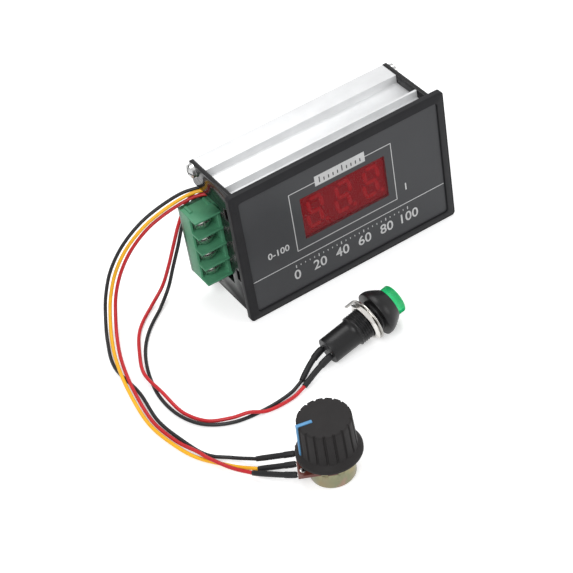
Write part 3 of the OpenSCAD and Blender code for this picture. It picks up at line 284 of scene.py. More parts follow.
for wire, route in wire_route.items():
    control, colour = wire.split("_wire_")
    line = bpy.data.curves.new(wire + "_line", "CURVE")
    line.dimensions = "3D"
    line.bevel_depth, line.bevel_resolution, line.resolution_u = wire_across / 2, 3, 8
    line.use_fill_caps = True
    spline = line.splines.new("BEZIER")
    spline.bezier_points.add(len(route) - 1)
    places = [Vector(place) / 1000 for place in route]
    for k, point in enumerate(spline.bezier_points):
        before, after = places[max(k - 1, 0)], places[min(k + 1, len(places) - 1)]
        pull = (after - before) / (6 if 0 < k < len(places) - 1 else 3)
        point.handle_left_type = point.handle_right_type = "FREE"
        point.co = places[k]
        point.handle_left, point.handle_right = places[k] - pull, places[k] + pull
        for handle in (point.handle_left, point.handle_right):
            handle.z = max(handle.z, wire_across / 2)
    line.materials.append(pvc[colour])
    cord = put_in(wire + "_cord", line)
    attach(cord, "controller")
    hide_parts(wire)
    root, bend = sleeve_from[wire]
    tube = sleeve(wire + "_sleeve", root, bend, places[-1], sleeve_across[control])
    tube = joined(wire + "_sleeve", tube, shrink, "sleeve_black", control + "_sleeves")


# ---------------------------------------------------------------- Aluminium extrusions
# The top and the base of the box are lengths of extruded aluminium. The top one is the heat sink of
# the three power parts. Both are left bright, with the faint lines of the die from end to end.
def settled(name, trial):
    """An object's shape with its modifiers worked in, as a plain mesh. The object goes."""
    bpy.context.view_layer.update()
    done = trial.evaluated_get(bpy.context.evaluated_depsgraph_get())
    mesh = bpy.data.meshes.new_from_object(done)
    for modifier in list(trial.modifiers):
        trial.modifiers.remove(modifier)
    bpy.data.objects.remove(trial)
    mesh.name = name
    return mesh


def merged(name):
    """A CAD piece's loose triangles, joined up where they meet."""
    b = bmesh.new()
    b.from_mesh(node[name].data)
    bmesh.ops.remove_doubles(b, verts=b.verts, dist=2e-6)
    for f in b.faces:
        f.smooth = True
    return b


def eased(name, width, finish, slot, body="controller", steps=2):
    """A copy of a CAD piece with its sharp edges rounded over, which takes that piece's place."""
    flat_turn, edge_turn = math.radians(0.6), math.radians(28)
    b = merged(name)
    bmesh.ops.dissolve_limit(b, angle_limit=flat_turn, verts=b.verts, edges=b.edges)
    trial = put_in(name + "_trial", plain(name, b))
    ease = trial.modifiers.new("ease", "BEVEL")
    ease.width, ease.segments = width, steps
    ease.limit_method, ease.angle_limit = "ANGLE", edge_turn
    ease.use_clamp_overlap = False
    ease.harden_normals = True
    return joined(name + "_eased", settled(name + "_eased", trial), finish, slot, name, body=body)


bright_aluminium = surface("bright extruded aluminium", (0.68, 0.685, 0.69), 0.5, metal=0.45,
                           drift=0.04, grain=1400, relief=0.3, stretch=(0.02, 1, 1), spread=0.1)
eased("top_extrusion", 0.00014, bright_aluminium, "aluminium_satin")
eased("base_rail", 0.00014, bright_aluminium, "aluminium_satin")


# ---------------------------------------------------------------- End plates, rear sheet and screws
# Two moulded black plates close the ends, each with two windows for the bezel's clips, and the left
# one with the cut-out for the terminals. Four self-cutting screws hold them, and a sheet of black
# plastic slides in behind the power board.
black_plate = surface("black moulded plate", (0.006, 0.006, 0.0065), 0.2, drift=0.12, grain=500,
                      relief=0.05, spread=0.04, mirror=0.25)
black_sheet = surface("black plastic sheet", (0.012, 0.012, 0.013), 0.5, drift=0.15, grain=700,
                      relief=0.25, mirror=0.2)
eased("left_end_plate", 0.00022, black_plate, "plate_black")
eased("right_end_plate", 0.00022, black_plate, "plate_black")
eased("rear_sheet", 0.0001, black_sheet, "sheet_black")


def sums(t):
    """Sums in a tree, of numbers and of other nodes: one of any kind, and the four plain ones."""
    def maths(kind, *values):
        return add(t, "ShaderNodeMath", values, operation=kind)

    plain_ones = ("ADD", "SUBTRACT", "MULTIPLY", "DIVIDE")
    return [maths] + [functools.partial(maths, kind) for kind in plain_ones]


def tree_of(name, **sizes):
    """A node tree for a modifier, with the names of its inputs by their kind, and what it is given."""
    t = bpy.data.node_groups.new(name, "GeometryNodeTree")
    t.is_modifier = True
    for kind, labels in sizes.items():
        for label in labels.split(", "):
            t.interface.new_socket(label, in_out="INPUT", socket_type="NodeSocket" + kind)
    t.interface.new_socket("Geometry", in_out="OUTPUT", socket_type="NodeSocketGeometry")
    return t, add(t, "NodeGroupInput").outputs


def coated(t, shape, finish):
    """The end of a tree: what it has made is made real, gets its finish and is handed out."""
    real = add(t, "GeometryNodeRealizeInstances", [shape])
    coat = add(t, "GeometryNodeSetMaterial", {"Geometry": real, "Material": finish})
    add(t, "NodeGroupOutput", [coat])
    return t


def stood(t, places, shape, finish, **way):
    """The end of a tree that stands one shape on every place, turned or scaled in a way of its own."""
    stand = add(t, "GeometryNodeInstanceOnPoints", {"Points": places, "Instance": shape, **way})
    return coated(t, stand, finish)


def facing(t):
    """The way that each of the places faces."""
    return add(t, "GeometryNodeInputNamedAttribute", {"Name": "facing"}, data_type="FLOAT_VECTOR")


def position(t):
    """The position of each point of a shape, as X, Y and Z."""
    at = add(t, "GeometryNodeInputPosition")
    return add(t, "ShaderNodeSeparateXYZ", [at]).outputs


def grown(name, t, mesh=None, **sizes):
    """Runs a node tree with these sizes and returns its result as a plain mesh."""
    trial = put_in(name + "_trial", mesh or bpy.data.meshes.new(name + "_seed"))
    run = trial.modifiers.new("grow", "NODES")
    run.node_group = t
    for socket in t.interface.items_tree:
        if socket.in_out == "INPUT" and socket.name.replace(" ", "_") in sizes:
            run[socket.identifier] = sizes[socket.name.replace(" ", "_")]
    return settled(name, trial)


def screw_tree():
    """Screws at the points of a mesh, each along its point's facing: a domed head with a cross slot,
    a washer under it and a plain shank."""
    t, given = tree_of(
        "cross-slotted screws", Geometry="Places", Material="Finish",
        Float="Head radius, Head height, Dome, Slot width, Slot depth, Washer radius, Washer height, "
              "Shank radius, Shank length")
    maths, plus, minus, times, over = sums(t)
    washer, radius, tall = given["Washer height"], given["Head radius"], given["Head height"]

    def triple(*values):
        return add(t, "ShaderNodeCombineXYZ", values)

    def raised(shape, rise):
        return add(t, "GeometryNodeTransform", {"Geometry": shape, "Translation": triple(0, 0, rise)})

    def disc(round_r, depth, middle, sides=40):
        return raised(add(t, "GeometryNodeMeshCylinder", {
            "Vertices": sides, "Side Segments": 3, "Fill Segments": 6, "Radius": round_r,
            "Depth": depth}), middle)

    head = disc(radius, tall, plus(washer, times(tall, 0.5)))
    # The head's top is a shallow dome: it falls away with a power of the distance from its axis
    x, y, z = position(t)
    out_from = add(t, "ShaderNodeVectorMath", [triple(x, y, 0)], operation="LENGTH").outputs["Value"]
    fall = times(maths("POWER", over(out_from, radius), 2.4), given["Dome"])
    drop = times(times(fall, over(minus(z, washer), tall)), -1)
    crown = add(t, "GeometryNodeSetPosition", {"Geometry": head, "Offset": triple(0, 0, drop)})

    slot, long, deep = given["Slot width"], times(radius, 2.5), times(given["Slot depth"], 2)
    cross = add(t, "GeometryNodeJoinGeometry")
    for size in ((slot, long, deep), (long, slot, deep)):
        bar = add(t, "GeometryNodeMeshCube", {"Size": triple(*size)})
        feed(t, cross, [raised(bar, plus(washer, tall))])
    cut = add(t, "GeometryNodeMeshBoolean", operation="DIFFERENCE", solver="EXACT")
    feed(t, cut, {"Mesh 1": crown, "Mesh 2": cross, "Self Intersection": True})

    screw = add(t, "GeometryNodeJoinGeometry", [cut])
    feed(t, screw, [disc(given["Washer radius"], washer, times(washer, 0.5))])
    feed(t, screw, [disc(given["Shank radius"], given["Shank length"],
                         times(given["Shank length"], -0.5), 24)])
    turn = add(t, "FunctionNodeAlignRotationToVector", {"Vector": facing(t)}, axis="Z")
    return stood(t, given["Places"], screw, given["Finish"], Rotation=turn)


def points(name, places, facings):
    """A mesh of loose points, each with the way that what stands on it faces."""
    mesh = bpy.data.meshes.new(name)
    mesh.from_pydata([Vector(p) for p in places], [], [])
    way = mesh.attributes.new("facing", "FLOAT_VECTOR", "POINT")
    for item, faces in zip(way.data, facings):
        item.vector = faces
    return mesh


def crisp(mesh, angle):
    """Smooth shading with hard edges where two faces meet at more than this angle."""
    mesh.shade_smooth()
    mesh.set_sharp_from_angle(angle=math.radians(angle))
    return mesh


turned_screw = screw_tree()


def screws(name, places, facings, finish, **sizes):
    """Screws with these places, facings and sizes."""
    seed = points(name + "_places", places, facings)
    return crisp(grown(name, turned_screw, seed, Finish=finish, **sizes), 38)


bright_steel = surface("bright zinc-plated steel", (0.5, 0.5, 0.495), 0.28, metal=1, drift=0.12,
                       relief=0.03)
case_low, case_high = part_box("end_plate_screws")
plate_low, plate_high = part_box("left_end_plate")[0].x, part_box("right_end_plate")[1].x
case_y, head_inset = (case_low.y + case_high.y) / 2, 0.003
case_places = [(x, case_y, z) for x in (plate_low, plate_high)
               for z in (case_low.z + head_inset, case_high.z - head_inset)]
case_facings = [(-1, 0, 0), (-1, 0, 0), (1, 0, 0), (1, 0, 0)]
case_screws = screws(
    "case_screws", case_places, case_facings, bright_steel,
    Head_radius=0.00275, Head_height=0.0019, Dome=0.0007, Slot_width=0.0006, Slot_depth=0.0011,
    Washer_radius=0.003, Washer_height=0.0004, Shank_radius=0.0013, Shank_length=0.009)
joined("end_plate_screws_turned", case_screws, bright_steel, "steel_bright", "end_plate_screws")


# ---------------------------------------------------------------- Bezel
# The front of the box is one ABS moulding: a flange that laps over the panel, a rim that slopes up
# to a narrow ridge, clips that snap into the end plates and posts for the control board.
black_abs = surface("black ABS bezel", (0.018, 0.018, 0.0195), 0.5, drift=0.1, grain=1600, relief=0.22,
                    mirror=0.12)
eased("front_bezel", 0.00012, black_abs, "black_plastic", steps=3)


# ---------------------------------------------------------------- Printed panel
# A grey polycarbonate panel lies in the bezel, round the window. It is screen printed in pale grey
# with a frame round the window, a label plate, a line across and a plain scale of numbers.
grey_panel = surface("grey printed panel", (0.04, 0.041, 0.044), 0.34, drift=0.05, grain=300,
                     relief=0.02, mirror=0.25)
pale_ink = surface("pale grey ink", (0.5, 0.5, 0.5), 0.45, grain=1800)
dark_ink = surface("dark grey ink", (0.035, 0.035, 0.038), 0.45, grain=1800)
panel_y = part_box("front_overlay")[0].y
ink = 0.00002


def dressed(finish, *names):
    """CAD pieces whose shape is right keep it and take this finish."""
    for name in names:
        mesh = node[name].data
        mesh.materials.clear()
        mesh.materials.append(finish)


dressed(grey_panel, "front_overlay")


def strokes(name, bars, base=panel_y):
    """Flat printed bars, each (left, right, low, high) in millimetres, on the panel's front."""
    b = bmesh.new()
    for x0, x1, z0, z1 in bars:
        corner = [b.verts.new((x / 1000, y, z / 1000)) for y in (base - ink, base) for x, z in
                  ((x0, z0), (x1, z0), (x1, z1), (x0, z1))]
        for face in ((0, 1, 2, 3), (7, 6, 5, 4), (0, 4, 5, 1), (1, 5, 6, 2), (2, 6, 7, 3),
                     (3, 7, 4, 0)):
            b.faces.new([corner[k] for k in face])
    return plain(name, b)


line_w, line_x, line_z = 0.32, 43.7, 17.3
frame_x0, frame_x1, frame_z0, frame_z1 = -23.4, 22.3, 21.3, 48.4
label = (-11.7, 10.5, 46.2, 50.7)
joined("panel_lines", strokes("panel_lines", [
    (frame_x0, label[0], frame_z1 - line_w, frame_z1),
    (label[1], frame_x1, frame_z1 - line_w, frame_z1),
    (frame_x0, frame_x1, frame_z0, frame_z0 + line_w),
    (frame_x0, frame_x0 + line_w, frame_z0 + line_w, frame_z1 - line_w),
    (frame_x1 - line_w, frame_x1, frame_z0 + line_w, frame_z1 - line_w),
    (-line_x, line_x, line_z, line_z + line_w),
    label,
]), pale_ink, "overlay_grey")


def figures(name, text, x, z, tall, spread=1.02):
    """Numerals set in the plain built-in face, made a thin printed mesh that stands on the panel. The
    place and the height are in millimetres, and a figure is 0.72 of its face's size."""
    letters = bpy.data.curves.new(name, "FONT")
    letters.body = text
    letters.size = tall / 0.72 / 1000
    letters.space_character = spread
    letters.extrude, letters.offset = ink / 2, 0.00006
    letters.align_x = "CENTER"
    letters.resolution_u = 6
    mesh = settled(name, put_in(name + "_trial", letters))
    mesh.transform(Matrix.Translation((x / 1000, panel_y - ink / 2, z / 1000))
                   @ Matrix.Rotation(math.pi / 2, 4, "X"))
    joined(name, mesh, pale_ink, "overlay_grey")


scale_from, scale_to = -25, 26.2
for k in range(6):
    figures("scale_%d" % (20 * k), str(20 * k), x=scale_from + (scale_to - scale_from) * k / 5, z=8.9,
            tall=4.4)
figures("range_left", "0-100", x=-31.2, z=24.2, tall=2.9)
figures("range_right", "1", x=26.6, z=23.8, tall=3.2, spread=1.0)
tick_half, tick_step, tick_first, tick_foot, tick_top, main_top = 0.25, 2, -9.6, 47.2, 48.7, 49.8
joined("label_ticks", strokes("label_ticks", [
    (tick_first + tick_step * k - tick_half, tick_first + tick_step * k + tick_half, tick_foot,
     tick_top if k % 5 else main_top) for k in range(10)
], panel_y - ink), dark_ink, "overlay_grey")


def tick_tree():
    """A row of printed ticks, a tall one at every fifth place."""
    t, given = tree_of("scale ticks", Int="Count", Vector="Left, Step", Float="Width, Tall, Thick",
                       Material="Finish")
    row = add(t, "GeometryNodeMeshLine", {
        "Count": given["Count"], "Start Location": given["Left"], "Offset": given["Step"]})
    size = add(t, "ShaderNodeCombineXYZ", [given["Width"], given["Thick"], given["Tall"]])
    bar = add(t, "GeometryNodeMeshCube", {"Size": size})
    place = add(t, "GeometryNodeInputIndex")
    in_five = add(t, "ShaderNodeMath", [place, 5], operation="MODULO")
    main = add(t, "FunctionNodeCompare", data_type="FLOAT", operation="LESS_THAN")
    feed(t, main, {"A": in_five, "B": 0.5})
    tall = add(t, "GeometryNodeSwitch", input_type="VECTOR")
    feed(t, tall, {"Switch": main, "False": (1, 1, 0.55), "True": (1.3, 1, 1)})
    return stood(t, row, bar, given["Finish"], Scale=tall)


tick_middle, gaps = 0.0149, 25
joined("scale_ticks", grown(
    "scale_ticks", tick_tree(), Count=gaps + 1, Width=0.0003, Tall=0.0013, Thick=ink, Finish=pale_ink,
    Left=(scale_from / 1000, panel_y - ink / 2, tick_middle),
    Step=((scale_to - scale_from) / 1000 / gaps, 0, 0)), pale_ink, "overlay_grey")


# ---------------------------------------------------------------- Display
# A clear red acrylic window lies in the panel. Behind it is a potted LED module, a dark box with three
# digits of seven diffusing bars and a point, which show as paler red while the display is off.
def tinted(name, colour, rough, alpha):
    """A see-through plastic: the surface's own finish with part of what lies behind it showing."""
    m = surface(name, colour, rough, drift=0.02, grain=60, relief=0, spread=0.02, mirror=0.12)
    m.node_tree.nodes["Principled BSDF"].inputs["Alpha"].default_value = alpha
    m.surface_render_method = "BLENDED"
    return m


red_acrylic = tinted("red acrylic window", (0.23, 0.015, 0.02), 0.14, 0.35)
red_potting = surface("module face behind red", (0.36, 0.026, 0.032), 0.7, drift=0.03, grain=300,
                      relief=0, mirror=0.1)
bar_red = surface("diffusing red bars", (0.75, 0.045, 0.052), 0.7, drift=0.03, grain=300,
                  relief=0, mirror=0.1)
eased("display_window", 0.00005, red_acrylic, "window_red")
dressed(red_potting, "display_module")


def digits_tree():
    """Digits made of bars with pointed ends: one at each of the places, turned as that place says."""
    t, given = tree_of("seven bar digits", Geometry="Places", Float="Bar length, Bar width, Thick",
                       Material="Finish")
    maths, plus, minus, times, _ = sums(t)
    hexagon = add(t, "GeometryNodeMeshCircle", {"Vertices": 6, "Radius": 1}, fill_type="NGON")
    x, y = position(t)[:2]
    # The six corners go to the two tips and to four shoulders, half a width in from the tips
    tip = maths("GREATER_THAN", maths("ABSOLUTE", x), 0.9)
    flank = minus(1, tip)
    half_l, half_w = (times(given[size], 0.5) for size in ("Bar length", "Bar width"))
    long = plus(times(tip, half_l), times(flank, minus(half_l, half_w)))
    there = add(t, "ShaderNodeCombineXYZ", [
        times(maths("SIGN", x), long), times(maths("SIGN", y), times(flank, half_w))])
    bar = add(t, "GeometryNodeSetPosition", {"Geometry": hexagon, "Position": there})
    thick = add(t, "GeometryNodeExtrudeMesh", {"Mesh": bar, "Offset Scale": given["Thick"]})
    return stood(t, given["Places"], thick, given["Finish"], Rotation=facing(t))


bars_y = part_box("display_segments")[1].y
window_low, window_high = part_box("display_window")
mid_x, mid_z = (window_low.x + window_high.x) / 2, (window_low.z + window_high.z) / 2
digit_step, digit_rise, digit_half, lean = 0.0126, 0.00625, 0.00285, 0.12
upright, bar_thick, dot_r, dot_out = math.pi / 2, 0.00025, 0.00085, 0.0017
digit_middles, bar_places, bar_turns = (mid_x - digit_step, mid_x, mid_x + digit_step), [], []
for middle in digit_middles:
    for level in (-1, 0, 1):
        bar_places.append((middle + level * lean * digit_rise, bars_y, mid_z + level * digit_rise))
        bar_turns.append((upright, 0, 0))
    for level, side in ((-0.5, -1), (-0.5, 1), (0.5, -1), (0.5, 1)):
        bar_places.append((middle + side * digit_half + level * lean * digit_rise, bars_y,
                           mid_z + level * digit_rise))
        bar_turns.append((upright, math.atan(1 / lean), 0))
bars = grown("digit_bars", digits_tree(), points("digit_places", bar_places, bar_turns),
             Bar_length=0.0052, Bar_width=0.0016, Thick=bar_thick, Finish=bar_red)
b = bmesh.new()
b.from_mesh(bars)
for middle in digit_middles:
    bmesh.ops.create_cone(
        b, cap_ends=True, segments=20, radius1=dot_r, radius2=dot_r, depth=bar_thick,
        matrix=Matrix.Translation((middle + digit_half + dot_out, bars_y - bar_thick / 2,
                                   mid_z - digit_rise)) @ Matrix.Rotation(upright, 4, "X"))
b.to_mesh(bars)
b.free()
joined("display_digits", bars, bar_red, "segment_red", "display_segments")


# ---------------------------------------------------------------- Boards and parts inside
# Two fibreglass boards with green solder mask carry the circuit. The power board slides in grooves at
# the rear, and the control board is screwed to the bezel's posts. Plug-in rows of pins join them.
def board_mask():
    """Green solder mask with darker copper tracks showing through it."""
    m = surface("green board", (0.012, 0.13, 0.06), 0.3, drift=0.1, grain=500)
    t = m.node_tree
    where, tint = (next(n for n in t.nodes if n.type == kind) for kind in ("TEX_COORD", "VALTORGB"))
    on_edge = add(t, "ShaderNodeMapping", {
        "Vector": where.outputs["Object"], "Rotation": (math.pi / 2, 0, 0)})
    tracks = add(t, "ShaderNodeTexBrick", {
        "Vector": on_edge, "Scale": 110, "Mortar Size": 0.06, "Color1": (1, 1, 1, 1),
        "Color2": (0.85, 0.9, 0.85, 1), "Mortar": (0.55, 0.6, 0.55, 1)})
    layer = add(t, "ShaderNodeMix", data_type="RGBA", blend_type="MULTIPLY")
    feed(t, layer, {"Factor": 1, "A": tint, "B": tracks})
    feed(t, t.nodes["Principled BSDF"], {"Base Color": layer.outputs["Result"]})
    return m


green_board = board_mask()
moulded_part = surface("black moulded part", (0.018, 0.018, 0.019), 0.5, drift=0.15, grain=2500,
                       relief=0.35)
brass = surface("plated brass", (0.75, 0.52, 0.2), 0.28, metal=1, drift=0.1, grain=2500)
grey_pad = surface("grey silicone pad", (0.3, 0.3, 0.31), 0.7, drift=0.1, grain=3000, relief=0.3)
blue_sleeve = surface("blue capacitor sleeve", (0.02, 0.05, 0.22), 0.35, drift=0.1, grain=500)
cream_nylon = surface("cream nylon plug", (0.72, 0.7, 0.62), 0.45, drift=0.05, grain=1200, relief=0.15)
dressed(green_board, "power_board", "control_board")
dressed(moulded_part, "link_blocks", "power_transistor_1", "power_transistor_2", "flyback_diode",
        "voltage_regulator", "microcontroller", "chip_resistors")
dressed(brass, "link_pins")
dressed(bright_steel, "board_screws", "tab_screws")
dressed(grey_pad, "insulating_pads")
dressed(blue_sleeve, "bulk_capacitors")
for plug in ("dial_plug", "button_plug"):
    eased(plug, 0.0002, cream_nylon, "plug_white")


# ---------------------------------------------------------------- Terminal block
# A green nylon moulding with four poles between fins, soldered to the power board. In each pole a
# tinned strip is clamped by a square washer under a plated steel screw that can be turned.
green_nylon = surface("green nylon block", (0.08, 0.28, 0.155), 0.48, grain=1300, relief=0.2,
                      mirror=0.25)
tinned = surface("tinned brass strip", (0.6, 0.6, 0.585), 0.28, metal=1, drift=0.1, grain=1200,
                 relief=0.06)
plated = surface("nickel-plated screw", (0.6, 0.595, 0.575), 0.24, metal=1, drift=0.1, relief=0.03)
eased("terminal_block", 0.00016, green_nylon, "block_green")
eased("terminal_contacts", 0.00008, tinned, "contact_tin")
eased("clamp_washers", 0.00015, plated, "contact_tin")
clamp_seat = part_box("clamp_washers")[0].y
for k in (1, 2, 3, 4):
    name = "clamp_screw_%d" % k
    low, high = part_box(name)
    place = ((low.x + high.x) / 2, clamp_seat, (low.z + high.z) / 2)
    clamp_screw = screws(
        name, [place], [(0, -1, 0)], plated,
        Head_radius=0.0027, Head_height=0.002, Dome=0.0008, Slot_width=0.0008, Slot_depth=0.001,
        Washer_radius=0.00145, Washer_height=0.00001, Shank_radius=0.0014, Shank_length=0.0052)
    joined(name + "_turned", clamp_screw, plated, "steel_bright", name, body=name)


# ---------------------------------------------------------------- Dial
# A 16 mm carbon-track control. Its deep-drawn can, zinc plated and passivated yellow, is open at the
# side above the resin board, and its crimped ears hold board, track and front plate together.
def passivated():
    """Yellow zinc: a pale brass colour that drifts to green and rose, as thin passivation does."""
    m = surface("yellow passivated zinc", (0.3, 0.24, 0.13), 0.34, metal=0.75, drift=0.05, relief=0.12)
    ramp = next(n for n in m.node_tree.nodes if n.type == "VALTORGB").color_ramp.elements
    while len(ramp) > 1:
        ramp.remove(ramp[-1])
    ramp[0].color = (0.31, 0.245, 0.13, 1)
    for at, colour in ((0.42, (0.28, 0.255, 0.15, 1)), (0.52, (0.24, 0.245, 0.15, 1)),
                       (0.62, (0.35, 0.23, 0.17, 1)), (0.75, (0.29, 0.235, 0.13, 1))):
        ramp.new(at).color = colour
    return m


yellow_zinc = passivated()
white_zinc = surface("white zinc plate", (0.72, 0.72, 0.68), 0.3, metal=0.9, grain=1500, relief=0.12)
brown_resin = surface("brown resin board", (0.13, 0.032, 0.022), 0.4, drift=0.12, relief=0.15)
carbon = surface("carbon track", (0.02, 0.02, 0.02), 0.6, drift=0.1, grain=3000)
bare_aluminium = surface("bare aluminium shaft", (0.72, 0.72, 0.72), 0.3, metal=1, drift=0.05,
                         grain=1500)
eased("dial_can", 0.00012, yellow_zinc, "can_zinc")
eased("dial_tag_board", 0.0001, brown_resin, "tag_board_brown")
eased("dial_lugs", 0.00008, tinned, "contact_tin")
eased("dial_front", 0.0001, white_zinc, "can_zinc")
eased("dial_nut", 0.00015, white_zinc, "nickel_bright")
eased("dial_shaft", 0.0002, bare_aluminium, "aluminium_satin", body="knob_and_shaft")
dressed(carbon, "dial_track")
dressed(brass, "dial_wiper")


# ---------------------------------------------------------------- Knob
# A push-on knob of soft-touch black plastic, moulded with a foot skirt and eighteen finger grooves
# that run up to a flat top. A pale blue pointer bar is let into its top and down its side.
def round_grid(t, around, count):
    """A grid to lay round an axis: its mesh, how far round each point is, and which row it is in."""
    maths, plus, minus, times, _ = sums(t)
    grid = add(t, "GeometryNodeMeshGrid", {
        "Size X": 1, "Size Y": 1, "Vertices X": plus(around, 1), "Vertices Y": count})
    x, y = position(t)[:2]
    turn = times(plus(x, 0.5), math.tau)
    row = maths("ROUND", times(plus(y, 0.5), minus(count, 1)))
    return grid, turn, row


def laid_round(t, mesh, turn, radius, height, finish):
    """The end of a tree that lays a grid round its axis and closes it."""
    maths, _, _, times, _ = sums(t)
    there = add(t, "ShaderNodeCombineXYZ", [
        times(radius, maths("COSINE", turn)), times(radius, maths("SINE", turn)), height])
    put = add(t, "GeometryNodeSetPosition", {"Geometry": mesh, "Position": there})
    close = add(t, "GeometryNodeMergeByDistance", {"Geometry": put, "Distance": 0.000005})
    return coated(t, close, finish)


def knob_tree():
    """A grid laid round an axis: one way it goes round, the other way it follows the profile, and the
    grooves press the wall in between their lands."""
    t, given = tree_of(
        "grooved knob", Int="Grooves, Around", Material="Finish",
        Float="Foot radius, Top radius, Skirt radius, Skirt height, Height, Groove depth, "
              "Groove share, Cavity radius, Cavity height, Bore radius, Bore height")
    maths, plus, minus, times, over = sums(t)

    # The profile's corners, from the bore's end round the outside to the middle of the top. Each is a
    # radius, a height and how much of the groove it takes.
    inner, bore, foot, top = (given["Cavity radius"], given["Bore radius"], given["Foot radius"],
                              given["Top radius"])
    skirt, skirt_h, tall = given["Skirt radius"], given["Skirt height"], given["Height"]
    cavity_h, bore_h = given["Cavity height"], given["Bore height"]
    rows = [
        (0.0, bore_h, 0), (bore, bore_h, 0), (bore, cavity_h, 0), (inner, cavity_h, 0),
        (inner, 0.0, 0), (minus(skirt, 0.0003), 0.0, 0), (minus(skirt, 0.0001), 0.0001, 0),
        (skirt, 0.0003, 0),
        (skirt, minus(skirt_h, 0.0004), 0), (minus(skirt, 0.0002), minus(skirt_h, 0.0001), 0),
        (minus(skirt, 0.0006), plus(skirt_h, 0.0003), 0),
        (plus(foot, 0.0006), plus(skirt_h, 0.0008), 0), (plus(foot, 0.0001), plus(skirt_h, 0.0011), 0),
        (foot, plus(skirt_h, 0.0013), 0.0), (foot, plus(skirt_h, 0.0017), 0.9),
    ]
    for share in (0.25, 0.5, 0.75, 0.93):
        rows.append((plus(foot, times(minus(top, foot), share)),
                     plus(skirt_h, times(minus(tall, skirt_h), share)), 1.0))
    rows += [
        (plus(top, 0.00002), minus(tall, 0.00055), 1.0),
        (minus(top, 0.00008), minus(tall, 0.0003), 1.0),
        (minus(top, 0.00025), minus(tall, 0.0001), 0.97), (minus(top, 0.0005), tall, 0.85),
        (minus(top, 0.0009), tall, 0.5), (minus(top, 0.0013), tall, 0.0),
        (times(top, 0.5), tall, 0), (0.0, tall, 0),
    ]
    mesh, turn, row = round_grid(t, given["Around"], len(rows))

    def pick(column):
        n = add(t, "GeometryNodeIndexSwitch", data_type="FLOAT")
        while len(n.index_switch_items) < len(rows):
            n.index_switch_items.new()
        return feed(t, n, [row] + [entry[column] for entry in rows])

    # Each groove is a round-bottomed dip, narrow against the land beside it
    phase = maths("FRACT", times(turn, over(given["Grooves"], math.tau)))
    off = over(maths("ABSOLUTE", minus(phase, 0.5)), given["Groove share"])
    inside = maths("MAXIMUM", minus(1, maths("POWER", off, 2)), 0)
    dip = times(maths("SQRT", inside), given["Groove depth"])
    radius = minus(pick(0), times(dip, pick(2)))
    return laid_round(t, mesh, turn, radius, pick(1), given["Finish"])


def outward(mesh):
    """Turns every face of a closed mesh to the outside."""
    b = bmesh.new()
    b.from_mesh(mesh)
    bmesh.ops.recalc_face_normals(b, faces=b.faces)
    b.to_mesh(mesh)
    b.free()
    return mesh


knob_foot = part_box("knob")[0].z
shaft_low, shaft_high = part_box("dial_shaft")
knob_turn, grooves = 166.5, 18
knob_frame = (Matrix.Translation(((shaft_low.x + shaft_high.x) / 2, (shaft_low.y + shaft_high.y) / 2,
                                  knob_foot)) @ Matrix.Rotation(math.radians(knob_turn), 4, "Z"))
soft_black = surface("soft black plastic", (0.019, 0.0175, 0.0175), 0.6, grain=1800, relief=0.2,
                     mirror=0.15)
pale_blue = surface("pale blue pointer", (0.085, 0.27, 0.5), 0.42, drift=0.05, grain=1500)
knob_mesh = grown(
    "knob", knob_tree(), Foot_radius=0.0101, Top_radius=0.00955, Skirt_radius=0.0118,
    Skirt_height=0.0016, Height=0.016, Grooves=grooves, Groove_depth=0.0006, Groove_share=0.14,
    Cavity_radius=0.0087, Cavity_height=0.0052, Bore_radius=0.003, Bore_height=0.0107,
    Around=grooves * 20, Finish=soft_black)
knob_mesh.transform(knob_frame)
joined("knob_grooved", crisp(outward(knob_mesh), 40), soft_black, "knob_black", "knob",
       body="knob_and_shaft")
eased("knob_pointer", 0.0002, pale_blue, "pointer_blue", body="knob_and_shaft")


# ---------------------------------------------------------------- Push button
# A 12 mm push button: a glossy black moulded housing with a rear body, a thread and a domed collar,
# held in its panel by a nickel-plated nut and a washer with a bent ear. The cap is clear green.
thread_r, rear_end, collar_end = 0.00595, 0.0118, 0.0294


def housing_tree():
    """A profile turned round an axis, with a thread whose ridge climbs one pitch a turn."""
    t, given = tree_of("threaded housing", Geometry="Profile", Int="Around", Material="Finish",
                       Float="Thread start, Thread end, Thread depth, Pitch")
    maths, _, minus, times, over = sums(t)
    # The seed mesh is one meridian of points, each holding its radius in X and its height in Z
    profile = given["Profile"]
    count = add(t, "GeometryNodeAttributeDomainSize", {"Geometry": profile}).outputs["Point Count"]
    mesh, turn, row = round_grid(t, given["Around"], count)
    at = add(t, "GeometryNodeInputPosition")
    place = add(t, "GeometryNodeSampleIndex", data_type="FLOAT_VECTOR")
    feed(t, place, {"Geometry": profile, "Value": at, "Index": row})
    radius, threaded, height = add(t, "ShaderNodeSeparateXYZ", [place]).outputs
    # The ridge: a triangle wave along the axis that shifts with the turn, faded out at both ends
    phase = maths("FRACT", minus(over(height, given["Pitch"]), over(turn, math.tau)))
    wave = times(maths("ABSOLUTE", minus(phase, 0.5)), 2)
    rise = over(minus(height, given["Thread start"]), given["Pitch"])
    fall = over(minus(given["Thread end"], height), given["Pitch"])
    fade = maths("MAXIMUM", maths("MINIMUM", maths("MINIMUM", rise, fall), 1), 0)
    deep = times(maths("GREATER_THAN", threaded, 0.5), given["Thread depth"])
    cut = times(times(wave, fade), deep)
    return laid_round(t, mesh, turn, minus(radius, cut), height, given["Finish"])


